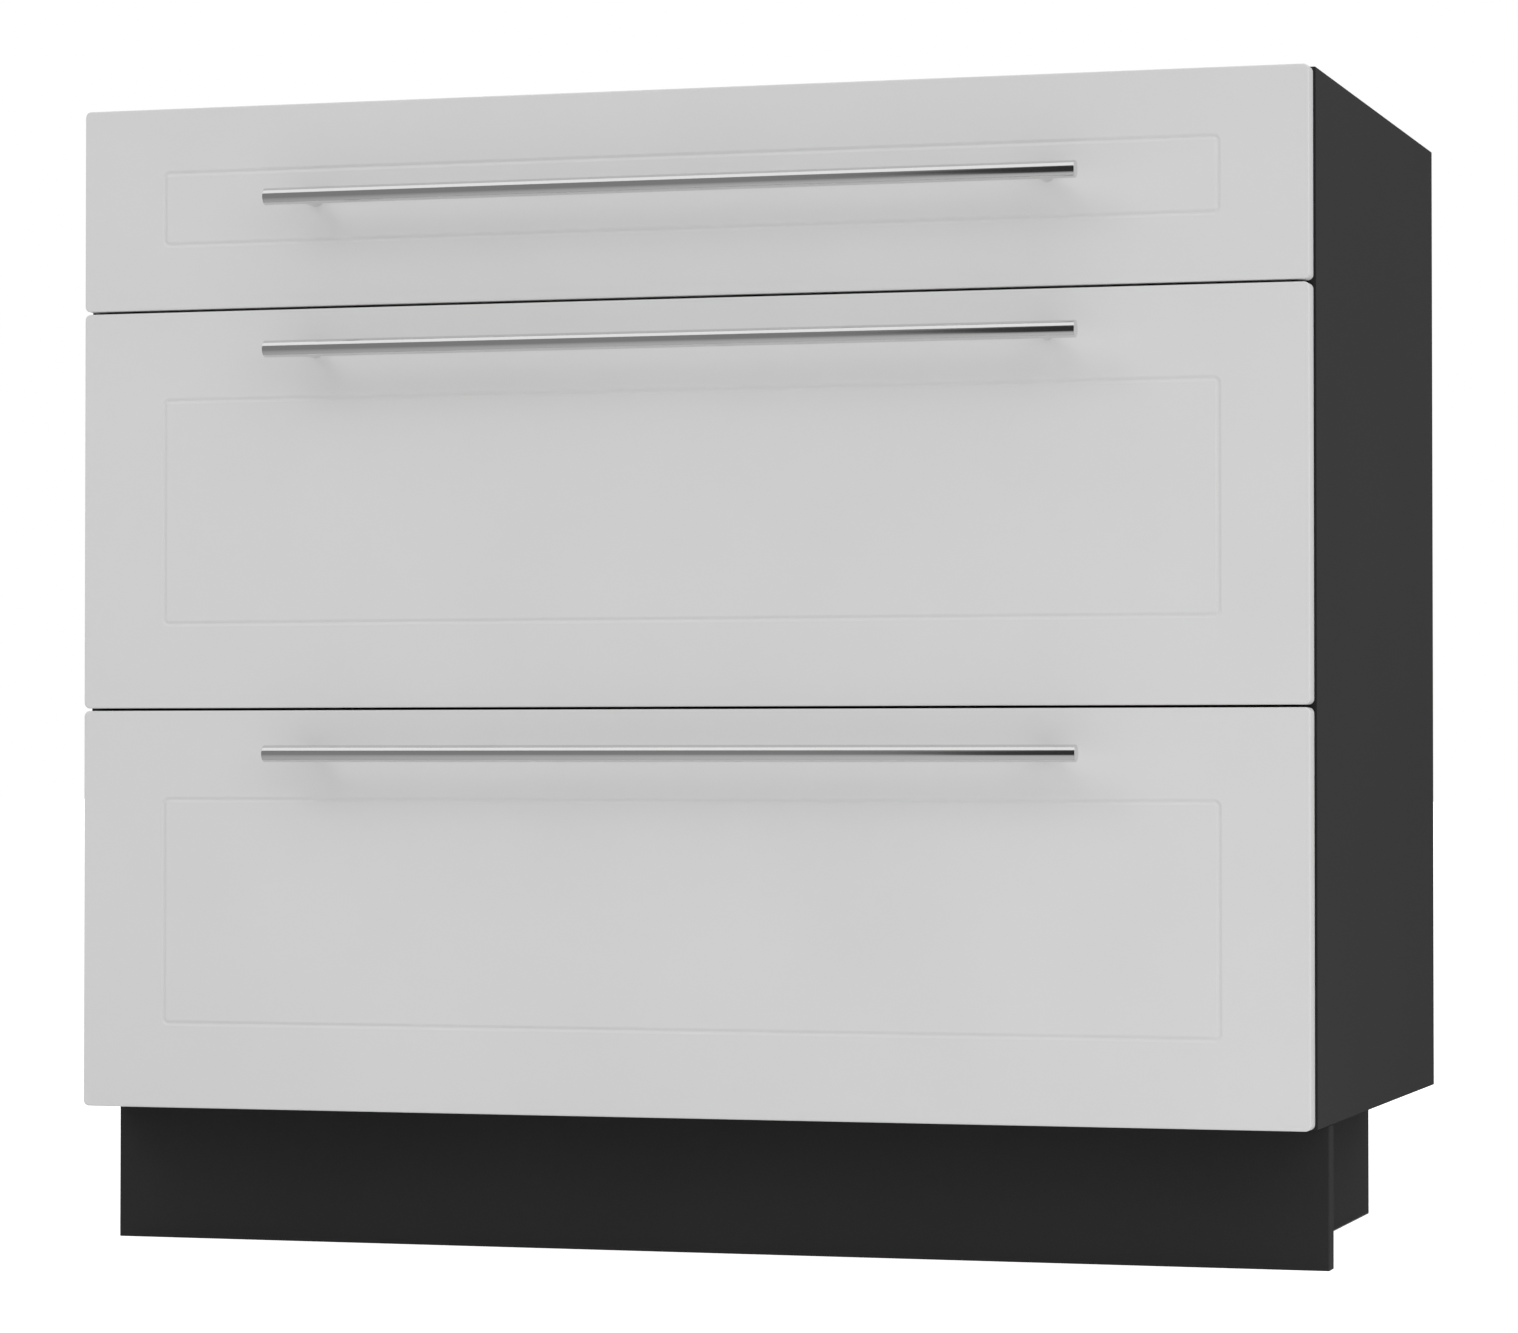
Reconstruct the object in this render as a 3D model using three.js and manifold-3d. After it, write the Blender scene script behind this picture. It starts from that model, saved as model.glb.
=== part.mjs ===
// A kitchen base cabinet with three drawers. A board carcass stands on a recessed plinth frame behind a
// toe-kick board. Each drawer is a wooden box behind a grooved front with a long bar handle. It runs on a
// pair of full-extension ball runners, each of a cabinet member, an intermediate member and a drawer member.
// Millimetres, +Z up, fronts facing -Y. The origin is on the floor under the middle of the whole object.

import * as THREE from 'three';
import { mergeVertices } from 'three/addons/utils/BufferGeometryUtils.js';
import Module from 'manifold-3d';

const wasm = await Module();
wasm.setup();

// ---- Driving dimensions ----

const CARCASS_WIDTH = 900;
const CARCASS_HEIGHT = 720;
const CARCASS_DEPTH = 500;
const CARCASS_BOARD = 16;
const PLINTH_HEIGHT = 100;

const BACK_PANEL_THICKNESS = 6;
const BACK_PANEL_SETBACK = 12; // from the carcass's rear edges to the panel's rear face
const BACK_GROOVE_DEPTH = 8;
const BACK_PANEL_END_GAP = 1; // above and below the panel
const TOP_RAIL_WIDTH = 100;

const TOE_KICK_THICKNESS = 16;
const TOE_KICK_SETBACK = 50; // from the carcass's front edges to the board's face
const TOE_KICK_END_GAP = 1;
const PLINTH_BOARD = 16;
const PLINTH_SIDE_INSET = 50; // from the carcass's side to the frame's side
const PLINTH_BACK_INSET = 5;

const FRONT_THICKNESS = 16;
const FRONT_SPACING = 1.8; // between two fronts
const FRONT_SIDE_REVEAL = 1.5;
const FRONT_STANDOFF = 1; // between the fronts' backs and the carcass
const FRONT_CORNER_RADIUS = 4;
const FRONT_EDGE_RADIUS = 1;
const SHALLOW_FRONT_HEIGHT = 145.5;

const ROUTED_LINE_WIDTH = 4.5;
const ROUTED_LINE_DEPTH = 0.9;
const ROUTED_LINE_RADIUS = 3.5;
const ROUTED_LINE_SIDE_INSET = 62.5; // from the front's side edges to the middle of the line
const SHALLOW_FRONT_LINE_INSET = 47; // the same from the top and bottom edges
const DEEP_FRONT_LINE_INSET = 62.4;
const DEEP_FRONT_LINE_DROP = 1.5; // from the front's middle to the line's middle

const HANDLE_BAR_DIAMETER = 12;
const HANDLE_BAR_LENGTH = 590;
const HANDLE_BAR_CHAMFER = 0.5;
const HANDLE_BAR_STANDOFF = 33; // from the front's face to the bar's axis
const HANDLE_POST_DIAMETER = 10;
const HANDLE_POST_INSET = 27; // from the bar's end to the post's axis
const SHALLOW_FRONT_HANDLE_DROP = 70; // from the front's top edge to the bar's axis
const DEEP_FRONT_HANDLE_DROP = 31.1;
const HANDLE_SCREW_HOLE_DIAMETER = 4.5;
const HANDLE_SCREW_HOLE_DEPTH = 14; // in the post

const BOX_BOARD = 16;
const BOX_BACK_CLEARANCE = 23; // from the box to the back panel
const BOX_RISE = 12; // above the front's lower edge, or above the bottom panel
const SHALLOW_BOX_CLEARANCE = 17; // from the top drawer's box to the rails above it
const DEEP_BOX_DROP = 56.5; // from the bottom drawer's front to its box, at the top
const BOX_BOTTOM_THICKNESS = 6;
const BOX_BOTTOM_RISE = 12; // above the box's lower edge
const BOX_GROOVE_DEPTH = 8;

const RUNNER_HEIGHT = 45;
const RUNNER_THICKNESS = 12.7;
const RUNNER_SHEET = 1.2;
const RUNNER_SETBACK = 3; // behind the carcass's front edges
const RUNNER_BACK_CLEARANCE = 29; // from the runner to the back panel
const RUNNER_RISE = 40; // from the box's lower edge to the runner's middle
const CABINET_MEMBER_LIP = 3.2; // how far its flanges' edges are turned in, from their outsides
const CABINET_MEMBER_SHORTFALL = 2.7; // from its flanges' edges to the drawer's side
const WEB_GAP = 1; // across the runner, between one member's web and the next member
const BALL_DIAMETER = 4;
const BALL_ROW_WIDTH = 2.8;
const BALL_ROW_LENGTH = 160;
const BALL_ROW_END_GAP = 20;
const RUNNER_SCREW_HOLE_DIAMETER = 4.6;
const RUNNER_SCREW_HOLE_INSET = 37; // from the member's ends

// ---- Clearances and fineness ----

const SEAT_GAP = 0.3; // between two boards, or a piece and its seat
const RUNNING_GAP = 0.3; // between the ball rows and the members they run in
const SMALLEST_RADIUS = 0.5; // of a corner that an edge's rounding takes in
const MERGE_DISTANCE = 1e-4;
const CORNER_STEPS = 4;
const EDGE_STEPS = 3;
const ROUND_SIDES = 40;
const HOLE_SIDES = 16;

// ---- Places worked out from the sizes above. y is counted from the fronts' outer faces here. ----

const carcassBottom = PLINTH_HEIGHT;
const carcassTop = carcassBottom + CARCASS_HEIGHT;
const carcassFront = FRONT_THICKNESS + FRONT_STANDOFF;
const carcassBack = carcassFront + CARCASS_DEPTH;
const outerHalfWidth = CARCASS_WIDTH / 2;
const innerHalfWidth = outerHalfWidth - CARCASS_BOARD;
const backPanelBack = carcassBack - BACK_PANEL_SETBACK;
const backPanelFront = backPanelBack - BACK_PANEL_THICKNESS;
const objectFront = -HANDLE_BAR_STANDOFF - HANDLE_BAR_DIAMETER / 2;
const objectMiddle = (objectFront + carcassBack) / 2;

const boxOuterHalfWidth = innerHalfWidth - RUNNER_THICKNESS - 2 * SEAT_GAP;
const boxInnerHalfWidth = boxOuterHalfWidth - BOX_BOARD;
const boxFront = FRONT_THICKNESS + SEAT_GAP;
const boxBack = backPanelFront - BOX_BACK_CLEARANCE;
const handlePostPlace = HANDLE_BAR_LENGTH / 2 - HANDLE_POST_INSET;

const deepFrontHeight = (CARCASS_HEIGHT - SHALLOW_FRONT_HEIGHT - 2 * FRONT_SPACING) / 2;
const lowerFrontBottom = carcassBottom;
const middleFrontBottom = lowerFrontBottom + deepFrontHeight + FRONT_SPACING;
const upperFrontBottom = middleFrontBottom + deepFrontHeight + FRONT_SPACING;
const lowerBoxRise = CARCASS_BOARD + BOX_RISE;
const shallowBoxHeight = SHALLOW_FRONT_HEIGHT - BOX_RISE - CARCASS_BOARD - SHALLOW_BOX_CLEARANCE;
const deepBoxHeight = deepFrontHeight - lowerBoxRise - DEEP_BOX_DROP;

const DRAWERS = [
  {
    name: 'top',
    frontBottom: upperFrontBottom,
    frontHeight: SHALLOW_FRONT_HEIGHT,
    lineInset: SHALLOW_FRONT_LINE_INSET,
    lineDrop: 0,
    handleDrop: SHALLOW_FRONT_HANDLE_DROP,
    boxBottom: upperFrontBottom + BOX_RISE,
    boxHeight: shallowBoxHeight,
  },
  {
    name: 'middle',
    frontBottom: middleFrontBottom,
    frontHeight: deepFrontHeight,
    lineInset: DEEP_FRONT_LINE_INSET,
    lineDrop: DEEP_FRONT_LINE_DROP,
    handleDrop: DEEP_FRONT_HANDLE_DROP,
    boxBottom: middleFrontBottom + BOX_RISE,
    boxHeight: deepBoxHeight,
  },
  {
    name: 'bottom',
    frontBottom: lowerFrontBottom,
    frontHeight: deepFrontHeight,
    lineInset: DEEP_FRONT_LINE_INSET,
    lineDrop: DEEP_FRONT_LINE_DROP,
    handleDrop: DEEP_FRONT_HANDLE_DROP,
    boxBottom: lowerFrontBottom + lowerBoxRise,
    boxHeight: deepBoxHeight,
  },
];
const SIDES = [
  { name: 'left', sign: -1 },
  { name: 'right', sign: 1 },
];

// ---- Finishes ----

const frontFilm = new THREE.MeshStandardMaterial({ color: 0xcecece, roughness: 0.45 });
const carcassBoard = new THREE.MeshStandardMaterial({ color: 0x373738, roughness: 0.6 });
const boxBoard = new THREE.MeshStandardMaterial({ color: 0xdedcd6, roughness: 0.55 });
const boxBottomBoard = new THREE.MeshStandardMaterial({ color: 0xd4d1c9, roughness: 0.6 });
const runnerSteel = new THREE.MeshStandardMaterial({ color: 0xb4b7ba, roughness: 0.35, metalness: 1 });
const handleSteel = new THREE.MeshStandardMaterial({ color: 0xdfdfde, roughness: 0.12, metalness: 1 });

// ---- Shape tools ----

const X = new THREE.Vector3(1, 0, 0);
const Y = new THREE.Vector3(0, 1, 0);
const Z = new THREE.Vector3(0, 0, 1);
// How an outline (u, v) and its length w lie in space when it is carried along x, along y or along z.
const CARRY = {
  alongX: new THREE.Matrix4().makeBasis(Y, Z, X),
  alongY: new THREE.Matrix4().makeBasis(X, Z, Y.clone().negate()),
  alongZ: new THREE.Matrix4().makeBasis(X, Y, Z),
};

function named(name, geometry, finish) {
  const mesh = new THREE.Mesh(geometry, finish);
  mesh.name = name;
  return mesh;
}

// A plain rectangular board between two corners.
function board(name, finish, low, high) {
  const size = high.map((value, axis) => value - low[axis]);
  const mesh = named(name, new THREE.BoxGeometry(...size), finish);
  mesh.position.set(...high.map((value, axis) => (value + low[axis]) / 2));
  return mesh;
}

// An outline of [u, v] points carried straight from start to end.
function carried(outline, direction, start, end) {
  const shape = new THREE.Shape(outline.map(([u, v]) => new THREE.Vector2(u, v)));
  const geometry = new THREE.ExtrudeGeometry(shape, { depth: end - start, bevelEnabled: false });
  geometry.applyMatrix4(CARRY[direction]);
  const along = { alongX: X, alongY: Y, alongZ: Z }[direction];
  const first = direction === 'alongY' ? end : start;
  return geometry.translate(along.x * first, along.y * first, along.z * first);
}

// A board's section from its outer to its inner face and from low to high, with a groove in the inner face.
function groovedOutline(outer, inner, low, high, groove) {
  const floor = inner + Math.sign(outer - inner) * groove.depth;
  return [
    [outer, low],
    [inner, low],
    [inner, groove.low],
    [floor, groove.low],
    [floor, groove.high],
    [inner, groove.high],
    [inner, high],
    [outer, high],
  ];
}

// A closed geometry as a solid for joining and cutting.
function solidOf(geometry) {
  const bare = geometry.clone();
  bare.deleteAttribute('normal');
  bare.deleteAttribute('uv');
  const merged = mergeVertices(bare, MERGE_DISTANCE);
  return new wasm.Manifold(
    new wasm.Mesh({
      numProp: 3,
      vertProperties: merged.attributes.position.array,
      triVerts: new Uint32Array(merged.index.array),
    }),
  );
}

function geometryOf(solid) {
  const mesh = solid.getMesh();
  const geometry = new THREE.BufferGeometry();
  geometry.setAttribute('position', new THREE.BufferAttribute(mesh.vertProperties, mesh.numProp));
  geometry.setIndex(new THREE.BufferAttribute(mesh.triVerts, 1));
  geometry.computeVertexNormals();
  return geometry;
}

// A round pin along x or along y about its centre, which cuts a hole or makes a shank.
function pin(direction, diameter, centre, length, sides) {
  const geometry = new THREE.CylinderGeometry(diameter / 2, diameter / 2, length, sides);
  if (direction === 'alongX') geometry.rotateZ(Math.PI / 2);
  return solidOf(geometry.translate(...centre));
}

// ---- Drawer front ----

// A rectangle with rounded corners, as points [x, z] anticlockwise about its centre.
function roundedRectangle(halfWidth, halfHeight, radius) {
  const corners = [
    [halfWidth - radius, halfHeight - radius],
    [radius - halfWidth, halfHeight - radius],
    [radius - halfWidth, radius - halfHeight],
    [halfWidth - radius, radius - halfHeight],
  ];
  return corners.flatMap(([x, z], quarter) =>
    Array.from({ length: CORNER_STEPS + 1 }, (_, step) => {
      const angle = ((quarter + step / CORNER_STEPS) * Math.PI) / 2;
      return [x + radius * Math.cos(angle), z + radius * Math.sin(angle)];
    }),
  );
}

// Nested rings from the back face, over the rounded front edge, to the routed line and its inner edge.
// Each ring is an inset from the front's outline, a depth behind its face and a corner radius.
function frontRings(front) {
  const width = CARCASS_WIDTH - 2 * FRONT_SIDE_REVEAL;
  const edge = Array.from({ length: EDGE_STEPS + 1 }, (_, step) => {
    const angle = (step / EDGE_STEPS) * (Math.PI / 2);
    const inset = FRONT_EDGE_RADIUS * (1 - Math.sin(angle));
    const depth = FRONT_EDGE_RADIUS * (1 - Math.cos(angle));
    return { inset, depth, radius: Math.max(FRONT_CORNER_RADIUS - inset, SMALLEST_RADIUS) };
  }).reverse();
  const across = [
    { offset: -ROUTED_LINE_WIDTH / 2, depth: 0 },
    { offset: -ROUTED_LINE_WIDTH / 4, depth: ROUTED_LINE_DEPTH * 0.75 },
    { offset: 0, depth: ROUTED_LINE_DEPTH },
    { offset: ROUTED_LINE_WIDTH / 4, depth: ROUTED_LINE_DEPTH * 0.75 },
    { offset: ROUTED_LINE_WIDTH / 2, depth: 0 },
  ];
  const back = { inset: 0, depth: FRONT_THICKNESS, radius: FRONT_CORNER_RADIUS };
  const outline = [back, ...edge].map((ring) => ({
    points: roundedRectangle(width / 2 - ring.inset, front.frontHeight / 2 - ring.inset, ring.radius),
    depth: ring.depth,
  }));
  const line = across.map((ring) => ({
    points: roundedRectangle(
      width / 2 - ROUTED_LINE_SIDE_INSET - ring.offset,
      front.frontHeight / 2 - front.lineInset - ring.offset,
      ROUTED_LINE_RADIUS - ring.offset,
    ).map(([x, z]) => [x, z - front.lineDrop]),
    depth: ring.depth,
  }));
  return [...outline, ...line];
}

// A closed surface through rings of equally many points, with flat ends.
function ringedGeometry(rings) {
  const count = rings[0].points.length;
  const positions = rings.flatMap((ring) => ring.points.flatMap(([x, z]) => [x, ring.depth, z]));
  const faces = [];
  for (let ring = 0; ring < rings.length - 1; ring += 1) {
    for (let point = 0; point < count; point += 1) {
      const next = (point + 1) % count;
      const [a, b] = [ring * count + point, ring * count + next];
      const [c, d] = [a + count, b + count];
      faces.push(a, b, d, a, d, c);
    }
  }
  const last = (rings.length - 1) * count;
  for (let point = 1; point < count - 1; point += 1) {
    faces.push(0, point + 1, point);
    faces.push(last, last + point, last + point + 1);
  }
  const geometry = new THREE.BufferGeometry();
  geometry.setAttribute('position', new THREE.Float32BufferAttribute(positions, 3));
  geometry.setIndex(faces);
  return geometry;
}

function handleHeight(drawer) {
  return drawer.frontBottom + drawer.frontHeight - drawer.handleDrop;
}

function drawerFront(drawer) {
  const middle = drawer.frontBottom + drawer.frontHeight / 2;
  const panel = solidOf(ringedGeometry(frontRings(drawer)).translate(0, 0, middle));
  const holes = SIDES.map(({ sign }) => {
    const centre = [sign * handlePostPlace, FRONT_THICKNESS / 2, handleHeight(drawer)];
    return pin('alongY', HANDLE_SCREW_HOLE_DIAMETER, centre, 2 * FRONT_THICKNESS, HOLE_SIDES);
  });
  const cut = holes.reduce((solid, hole) => solid.subtract(hole), panel);
  return named(`${drawer.name}_drawer_front`, geometryOf(cut), frontFilm);
}

// ---- Handle ----

function handleBar(drawer) {
  const radius = HANDLE_BAR_DIAMETER / 2;
  const profile = [
    [0, 0],
    [radius - HANDLE_BAR_CHAMFER, 0],
    [radius, HANDLE_BAR_CHAMFER],
    [radius, HANDLE_BAR_LENGTH - HANDLE_BAR_CHAMFER],
    [radius - HANDLE_BAR_CHAMFER, HANDLE_BAR_LENGTH],
    [0, HANDLE_BAR_LENGTH],
  ].map(([across, along]) => new THREE.Vector2(across, along));
  const bar = named(`${drawer.name}_handle_bar`, new THREE.LatheGeometry(profile, ROUND_SIDES), handleSteel);
  bar.rotation.z = -Math.PI / 2;
  bar.position.set(-HANDLE_BAR_LENGTH / 2, -HANDLE_BAR_STANDOFF, handleHeight(drawer));
  return bar;
}

// A round post from the front to the bar, hollowed to the bar's curve and bored for its screw.
function handlePost(drawer, side) {
  const length = HANDLE_BAR_STANDOFF - SEAT_GAP;
  const shank = pin('alongY', HANDLE_POST_DIAMETER, [0, -SEAT_GAP - length / 2, 0], length, ROUND_SIDES);
  const barSpace = pin(
    'alongX',
    HANDLE_BAR_DIAMETER + 2 * SEAT_GAP,
    [0, -HANDLE_BAR_STANDOFF, 0],
    2 * HANDLE_POST_DIAMETER,
    ROUND_SIDES,
  );
  const bore = pin('alongY', HANDLE_SCREW_HOLE_DIAMETER, [0, 0, 0], 2 * HANDLE_SCREW_HOLE_DEPTH, HOLE_SIDES);
  const solid = shank.subtract(barSpace).subtract(bore);
  const post = named(`${drawer.name}_handle_post_${side.name}`, geometryOf(solid), handleSteel);
  post.position.set(side.sign * handlePostPlace, 0, handleHeight(drawer));
  return post;
}

// ---- Drawer box ----

function bottomGroove(drawer) {
  const low = drawer.boxBottom + BOX_BOTTOM_RISE - SEAT_GAP;
  return { low, high: low + BOX_BOTTOM_THICKNESS + 2 * SEAT_GAP, depth: BOX_GROOVE_DEPTH };
}

function boxSide(drawer, side) {
  const outline = groovedOutline(
    side.sign * boxOuterHalfWidth,
    side.sign * boxInnerHalfWidth,
    drawer.boxBottom,
    drawer.boxBottom + drawer.boxHeight,
    bottomGroove(drawer),
  );
  return named(`${drawer.name}_box_${side.name}`, carried(outline, 'alongY', boxFront, boxBack), boxBoard);
}

// The board between the two box sides, at the box's front or at its back.
function boxEnd(drawer, name, outer, inner) {
  const half = boxInnerHalfWidth - SEAT_GAP;
  const top = drawer.boxBottom + drawer.boxHeight;
  const outline = groovedOutline(outer, inner, drawer.boxBottom, top, bottomGroove(drawer));
  const end = solidOf(carried(outline, 'alongX', -half, half));
  return { name: `${drawer.name}_box_${name}`, end };
}

// The handle's screws pass through the box's front board where it stands behind them.
function boxFrontBoard(drawer) {
  const { name, end } = boxEnd(drawer, 'front', boxFront, boxFront + BOX_BOARD);
  const holes = SIDES.map(({ sign }) => {
    const centre = [sign * handlePostPlace, boxFront, handleHeight(drawer)];
    return pin('alongY', HANDLE_SCREW_HOLE_DIAMETER, centre, 4 * BOX_BOARD, HOLE_SIDES);
  });
  return named(name, geometryOf(holes.reduce((solid, hole) => solid.subtract(hole), end)), boxBoard);
}

function boxBackBoard(drawer) {
  const { name, end } = boxEnd(drawer, 'back', boxBack, boxBack - BOX_BOARD);
  return named(name, geometryOf(end), boxBoard);
}

function boxBottom(drawer) {
  const reach = BOX_GROOVE_DEPTH - SEAT_GAP;
  const low = drawer.boxBottom + BOX_BOTTOM_RISE;
  const half = boxInnerHalfWidth + reach;
  const front = boxFront + BOX_BOARD - reach;
  const back = boxBack - BOX_BOARD + reach;
  const corners = [[-half, front, low], [half, back, low + BOX_BOTTOM_THICKNESS]];
  return board(`${drawer.name}_box_bottom`, boxBottomBoard, ...corners);
}

// ---- Runners ----

// Across a runner, u is counted from the cabinet member's outer face towards the drawer, and v up from the
// runner's middle. Each track is the height where a row of balls rolls.
const runnerFront = carcassFront + RUNNER_SETBACK;
const runnerBack = backPanelFront - RUNNER_BACK_CLEARANCE;
const cabinetTrack = RUNNER_HEIGHT / 2 - RUNNER_SHEET;
const intermediateOutside = cabinetTrack - RUNNING_GAP - BALL_DIAMETER;
const intermediateInside = intermediateOutside - RUNNER_SHEET;
const drawerTrack = intermediateInside - BALL_DIAMETER - RUNNING_GAP;
const cabinetFlangeEnd = RUNNER_THICKNESS - CABINET_MEMBER_SHORTFALL;
const intermediateWeb = RUNNER_SHEET + WEB_GAP;
const intermediateFlangeEnd = RUNNER_THICKNESS - RUNNER_SHEET - WEB_GAP;
const drawerFlangeEnd = intermediateWeb + RUNNER_SHEET + WEB_GAP;

function acrossRunner(side, u) {
  return side.sign * (innerHalfWidth - SEAT_GAP - u);
}

// A bent sheet channel with a web at u = web and two flanges that reach to u = end. A lip is how far each
// flange's edge is turned inwards, from its outside, and is one sheet's thickness where nothing is turned.
function channelOutline(side, web, end, halfHeight, lip = RUNNER_SHEET) {
  const sheet = Math.sign(end - web) * RUNNER_SHEET;
  const inside = halfHeight - RUNNER_SHEET;
  const lipEdge = halfHeight - lip;
  const lipCorners = lip > RUNNER_SHEET ? [[end - sheet, inside], [end - sheet, lipEdge]] : [];
  const upper = [[web + sheet, inside], ...lipCorners, [end, lipEdge], [end, halfHeight], [web, halfHeight]];
  const lower = upper.map(([u, v]) => [u, -v]).reverse();
  return [...upper, ...lower].map(([u, v]) => [acrossRunner(side, u), v]);
}

function runnerMesh(drawer, name, side, solid) {
  const mesh = named(`${drawer.name}_runner_${name}_${side.name}`, geometryOf(solid), runnerSteel);
  mesh.position.z = drawer.boxBottom + RUNNER_RISE;
  return mesh;
}

// A channel of the runner's length with three screw holes through its web.
function drilledChannel(side, outline) {
  const middle = (runnerFront + runnerBack) / 2;
  const places = [runnerFront + RUNNER_SCREW_HOLE_INSET, middle, runnerBack - RUNNER_SCREW_HOLE_INSET];
  const holes = places.map((place) => {
    const centre = [acrossRunner(side, RUNNER_THICKNESS / 2), place, 0];
    return pin('alongX', RUNNER_SCREW_HOLE_DIAMETER, centre, 2 * RUNNER_THICKNESS, HOLE_SIDES);
  });
  const channel = solidOf(carried(outline, 'alongY', runnerFront, runnerBack));
  return holes.reduce((rest, hole) => rest.subtract(hole), channel);
}

function cabinetMember(drawer, side) {
  const outline = channelOutline(side, 0, cabinetFlangeEnd, RUNNER_HEIGHT / 2, CABINET_MEMBER_LIP);
  return runnerMesh(drawer, 'cabinet_member', side, drilledChannel(side, outline));
}

function drawerMember(drawer, side) {
  const outline = channelOutline(side, RUNNER_THICKNESS, drawerFlangeEnd, drawerTrack);
  return runnerMesh(drawer, 'drawer_member', side, drilledChannel(side, outline));
}

// A row of balls in its cage, as a bar about u = place that fills v = low to v = high.
function ballRow(side, place, low, high, start) {
  const bar = new THREE.BoxGeometry(BALL_ROW_WIDTH, BALL_ROW_LENGTH, high - low);
  bar.translate(acrossRunner(side, place), start + BALL_ROW_LENGTH / 2, (low + high) / 2);
  return solidOf(bar);
}

// The intermediate member with its four ball rows. The rows on its outside run in the cabinet member and lie
// towards the back, and those on its inside carry the drawer member and lie towards the front.
function intermediateMember(drawer, side) {
  const outline = channelOutline(side, intermediateWeb, intermediateFlangeEnd, intermediateOutside);
  const channel = solidOf(carried(outline, 'alongY', runnerFront, runnerBack));
  const inFlange = (intermediateOutside + intermediateInside) / 2;
  const outerTop = cabinetTrack - RUNNING_GAP;
  const outerPlace = cabinetFlangeEnd / 2;
  const outerStart = runnerBack - BALL_ROW_END_GAP - BALL_ROW_LENGTH;
  const innerBottom = drawerTrack + RUNNING_GAP;
  const innerPlace = (drawerFlangeEnd + intermediateFlangeEnd) / 2;
  const innerStart = runnerFront + BALL_ROW_END_GAP;
  const rows = [
    ballRow(side, outerPlace, inFlange, outerTop, outerStart),
    ballRow(side, outerPlace, -outerTop, -inFlange, outerStart),
    ballRow(side, innerPlace, innerBottom, inFlange, innerStart),
    ballRow(side, innerPlace, -inFlange, -innerBottom, innerStart),
  ];
  return runnerMesh(drawer, 'intermediate', side, rows.reduce((whole, row) => whole.add(row), channel));
}

// ---- Carcass ----

function sidePanel(side) {
  const groove = {
    low: backPanelFront - SEAT_GAP,
    high: backPanelBack + SEAT_GAP,
    depth: BACK_GROOVE_DEPTH,
  };
  const outline = groovedOutline(
    side.sign * outerHalfWidth,
    side.sign * innerHalfWidth,
    carcassFront,
    carcassBack,
    groove,
  );
  const panel = carried(outline, 'alongZ', carcassBottom, carcassTop);
  return named(`${side.name}_side_panel`, panel, carcassBoard);
}

// A level board between the side panels.
function levelBoard(name, front, back, bottom) {
  const half = innerHalfWidth - SEAT_GAP;
  return board(name, carcassBoard, [-half, front, bottom], [half, back, bottom + CARCASS_BOARD]);
}

function backPanel() {
  const half = innerHalfWidth + BACK_GROOVE_DEPTH - SEAT_GAP;
  const low = [-half, backPanelFront, carcassBottom + BACK_PANEL_END_GAP];
  return board('back_panel', carcassBoard, low, [half, backPanelBack, carcassTop - BACK_PANEL_END_GAP]);
}

function carcass() {
  const group = new THREE.Group();
  const levelBack = backPanelFront - SEAT_GAP;
  const railBottom = carcassTop - CARCASS_BOARD;
  group.add(...SIDES.map(sidePanel));
  group.add(levelBoard('bottom_panel', carcassFront, levelBack, carcassBottom));
  group.add(levelBoard('top_front_rail', carcassFront, carcassFront + TOP_RAIL_WIDTH, railBottom));
  group.add(levelBoard('top_back_rail', levelBack - TOP_RAIL_WIDTH, levelBack, railBottom));
  group.add(backPanel());
  return group;
}

// ---- Plinth ----

function plinth() {
  const group = new THREE.Group();
  const top = carcassBottom - SEAT_GAP;
  const kickFront = carcassFront + TOE_KICK_SETBACK;
  const frameFront = kickFront + TOE_KICK_THICKNESS + SEAT_GAP;
  const frameBack = carcassBack - PLINTH_BACK_INSET;
  const kickHalf = outerHalfWidth - TOE_KICK_END_GAP;
  const frameHalf = outerHalfWidth - PLINTH_SIDE_INSET;
  const railHalf = frameHalf - PLINTH_BOARD - SEAT_GAP;
  const rails = { front: frameFront, back: frameBack - PLINTH_BOARD };
  const kickCorners = [[-kickHalf, kickFront, 0], [kickHalf, kickFront + TOE_KICK_THICKNESS, top]];
  group.add(board('toe_kick_board', carcassBoard, ...kickCorners));
  SIDES.forEach(({ name, sign }) => {
    const [low, high] = [sign * frameHalf, sign * (frameHalf - PLINTH_BOARD)].sort((a, b) => a - b);
    group.add(board(`plinth_${name}_side`, carcassBoard, [low, frameFront, 0], [high, frameBack, top]));
  });
  Object.entries(rails).forEach(([name, start]) => {
    const corners = [[-railHalf, start, 0], [railHalf, start + PLINTH_BOARD, top]];
    group.add(board(`plinth_${name}_rail`, carcassBoard, ...corners));
  });
  return group;
}

// ---- Assembly ----

function drawerAssembly(drawer) {
  const group = new THREE.Group();
  group.add(drawerFront(drawer), handleBar(drawer));
  group.add(boxFrontBoard(drawer), boxBackBoard(drawer), boxBottom(drawer));
  SIDES.forEach((side) => {
    group.add(handlePost(drawer, side), boxSide(drawer, side), drawerMember(drawer, side));
  });
  return group;
}

function runnerAssembly(drawer) {
  const group = new THREE.Group();
  SIDES.forEach((side) => {
    group.add(cabinetMember(drawer, side), intermediateMember(drawer, side));
  });
  return group;
}

const cabinet = new THREE.Group();
cabinet.add(carcass(), plinth());
DRAWERS.forEach((drawer) => {
  cabinet.add(runnerAssembly(drawer), drawerAssembly(drawer));
});
cabinet.position.y = -objectMiddle;

export default cabinet;
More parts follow.
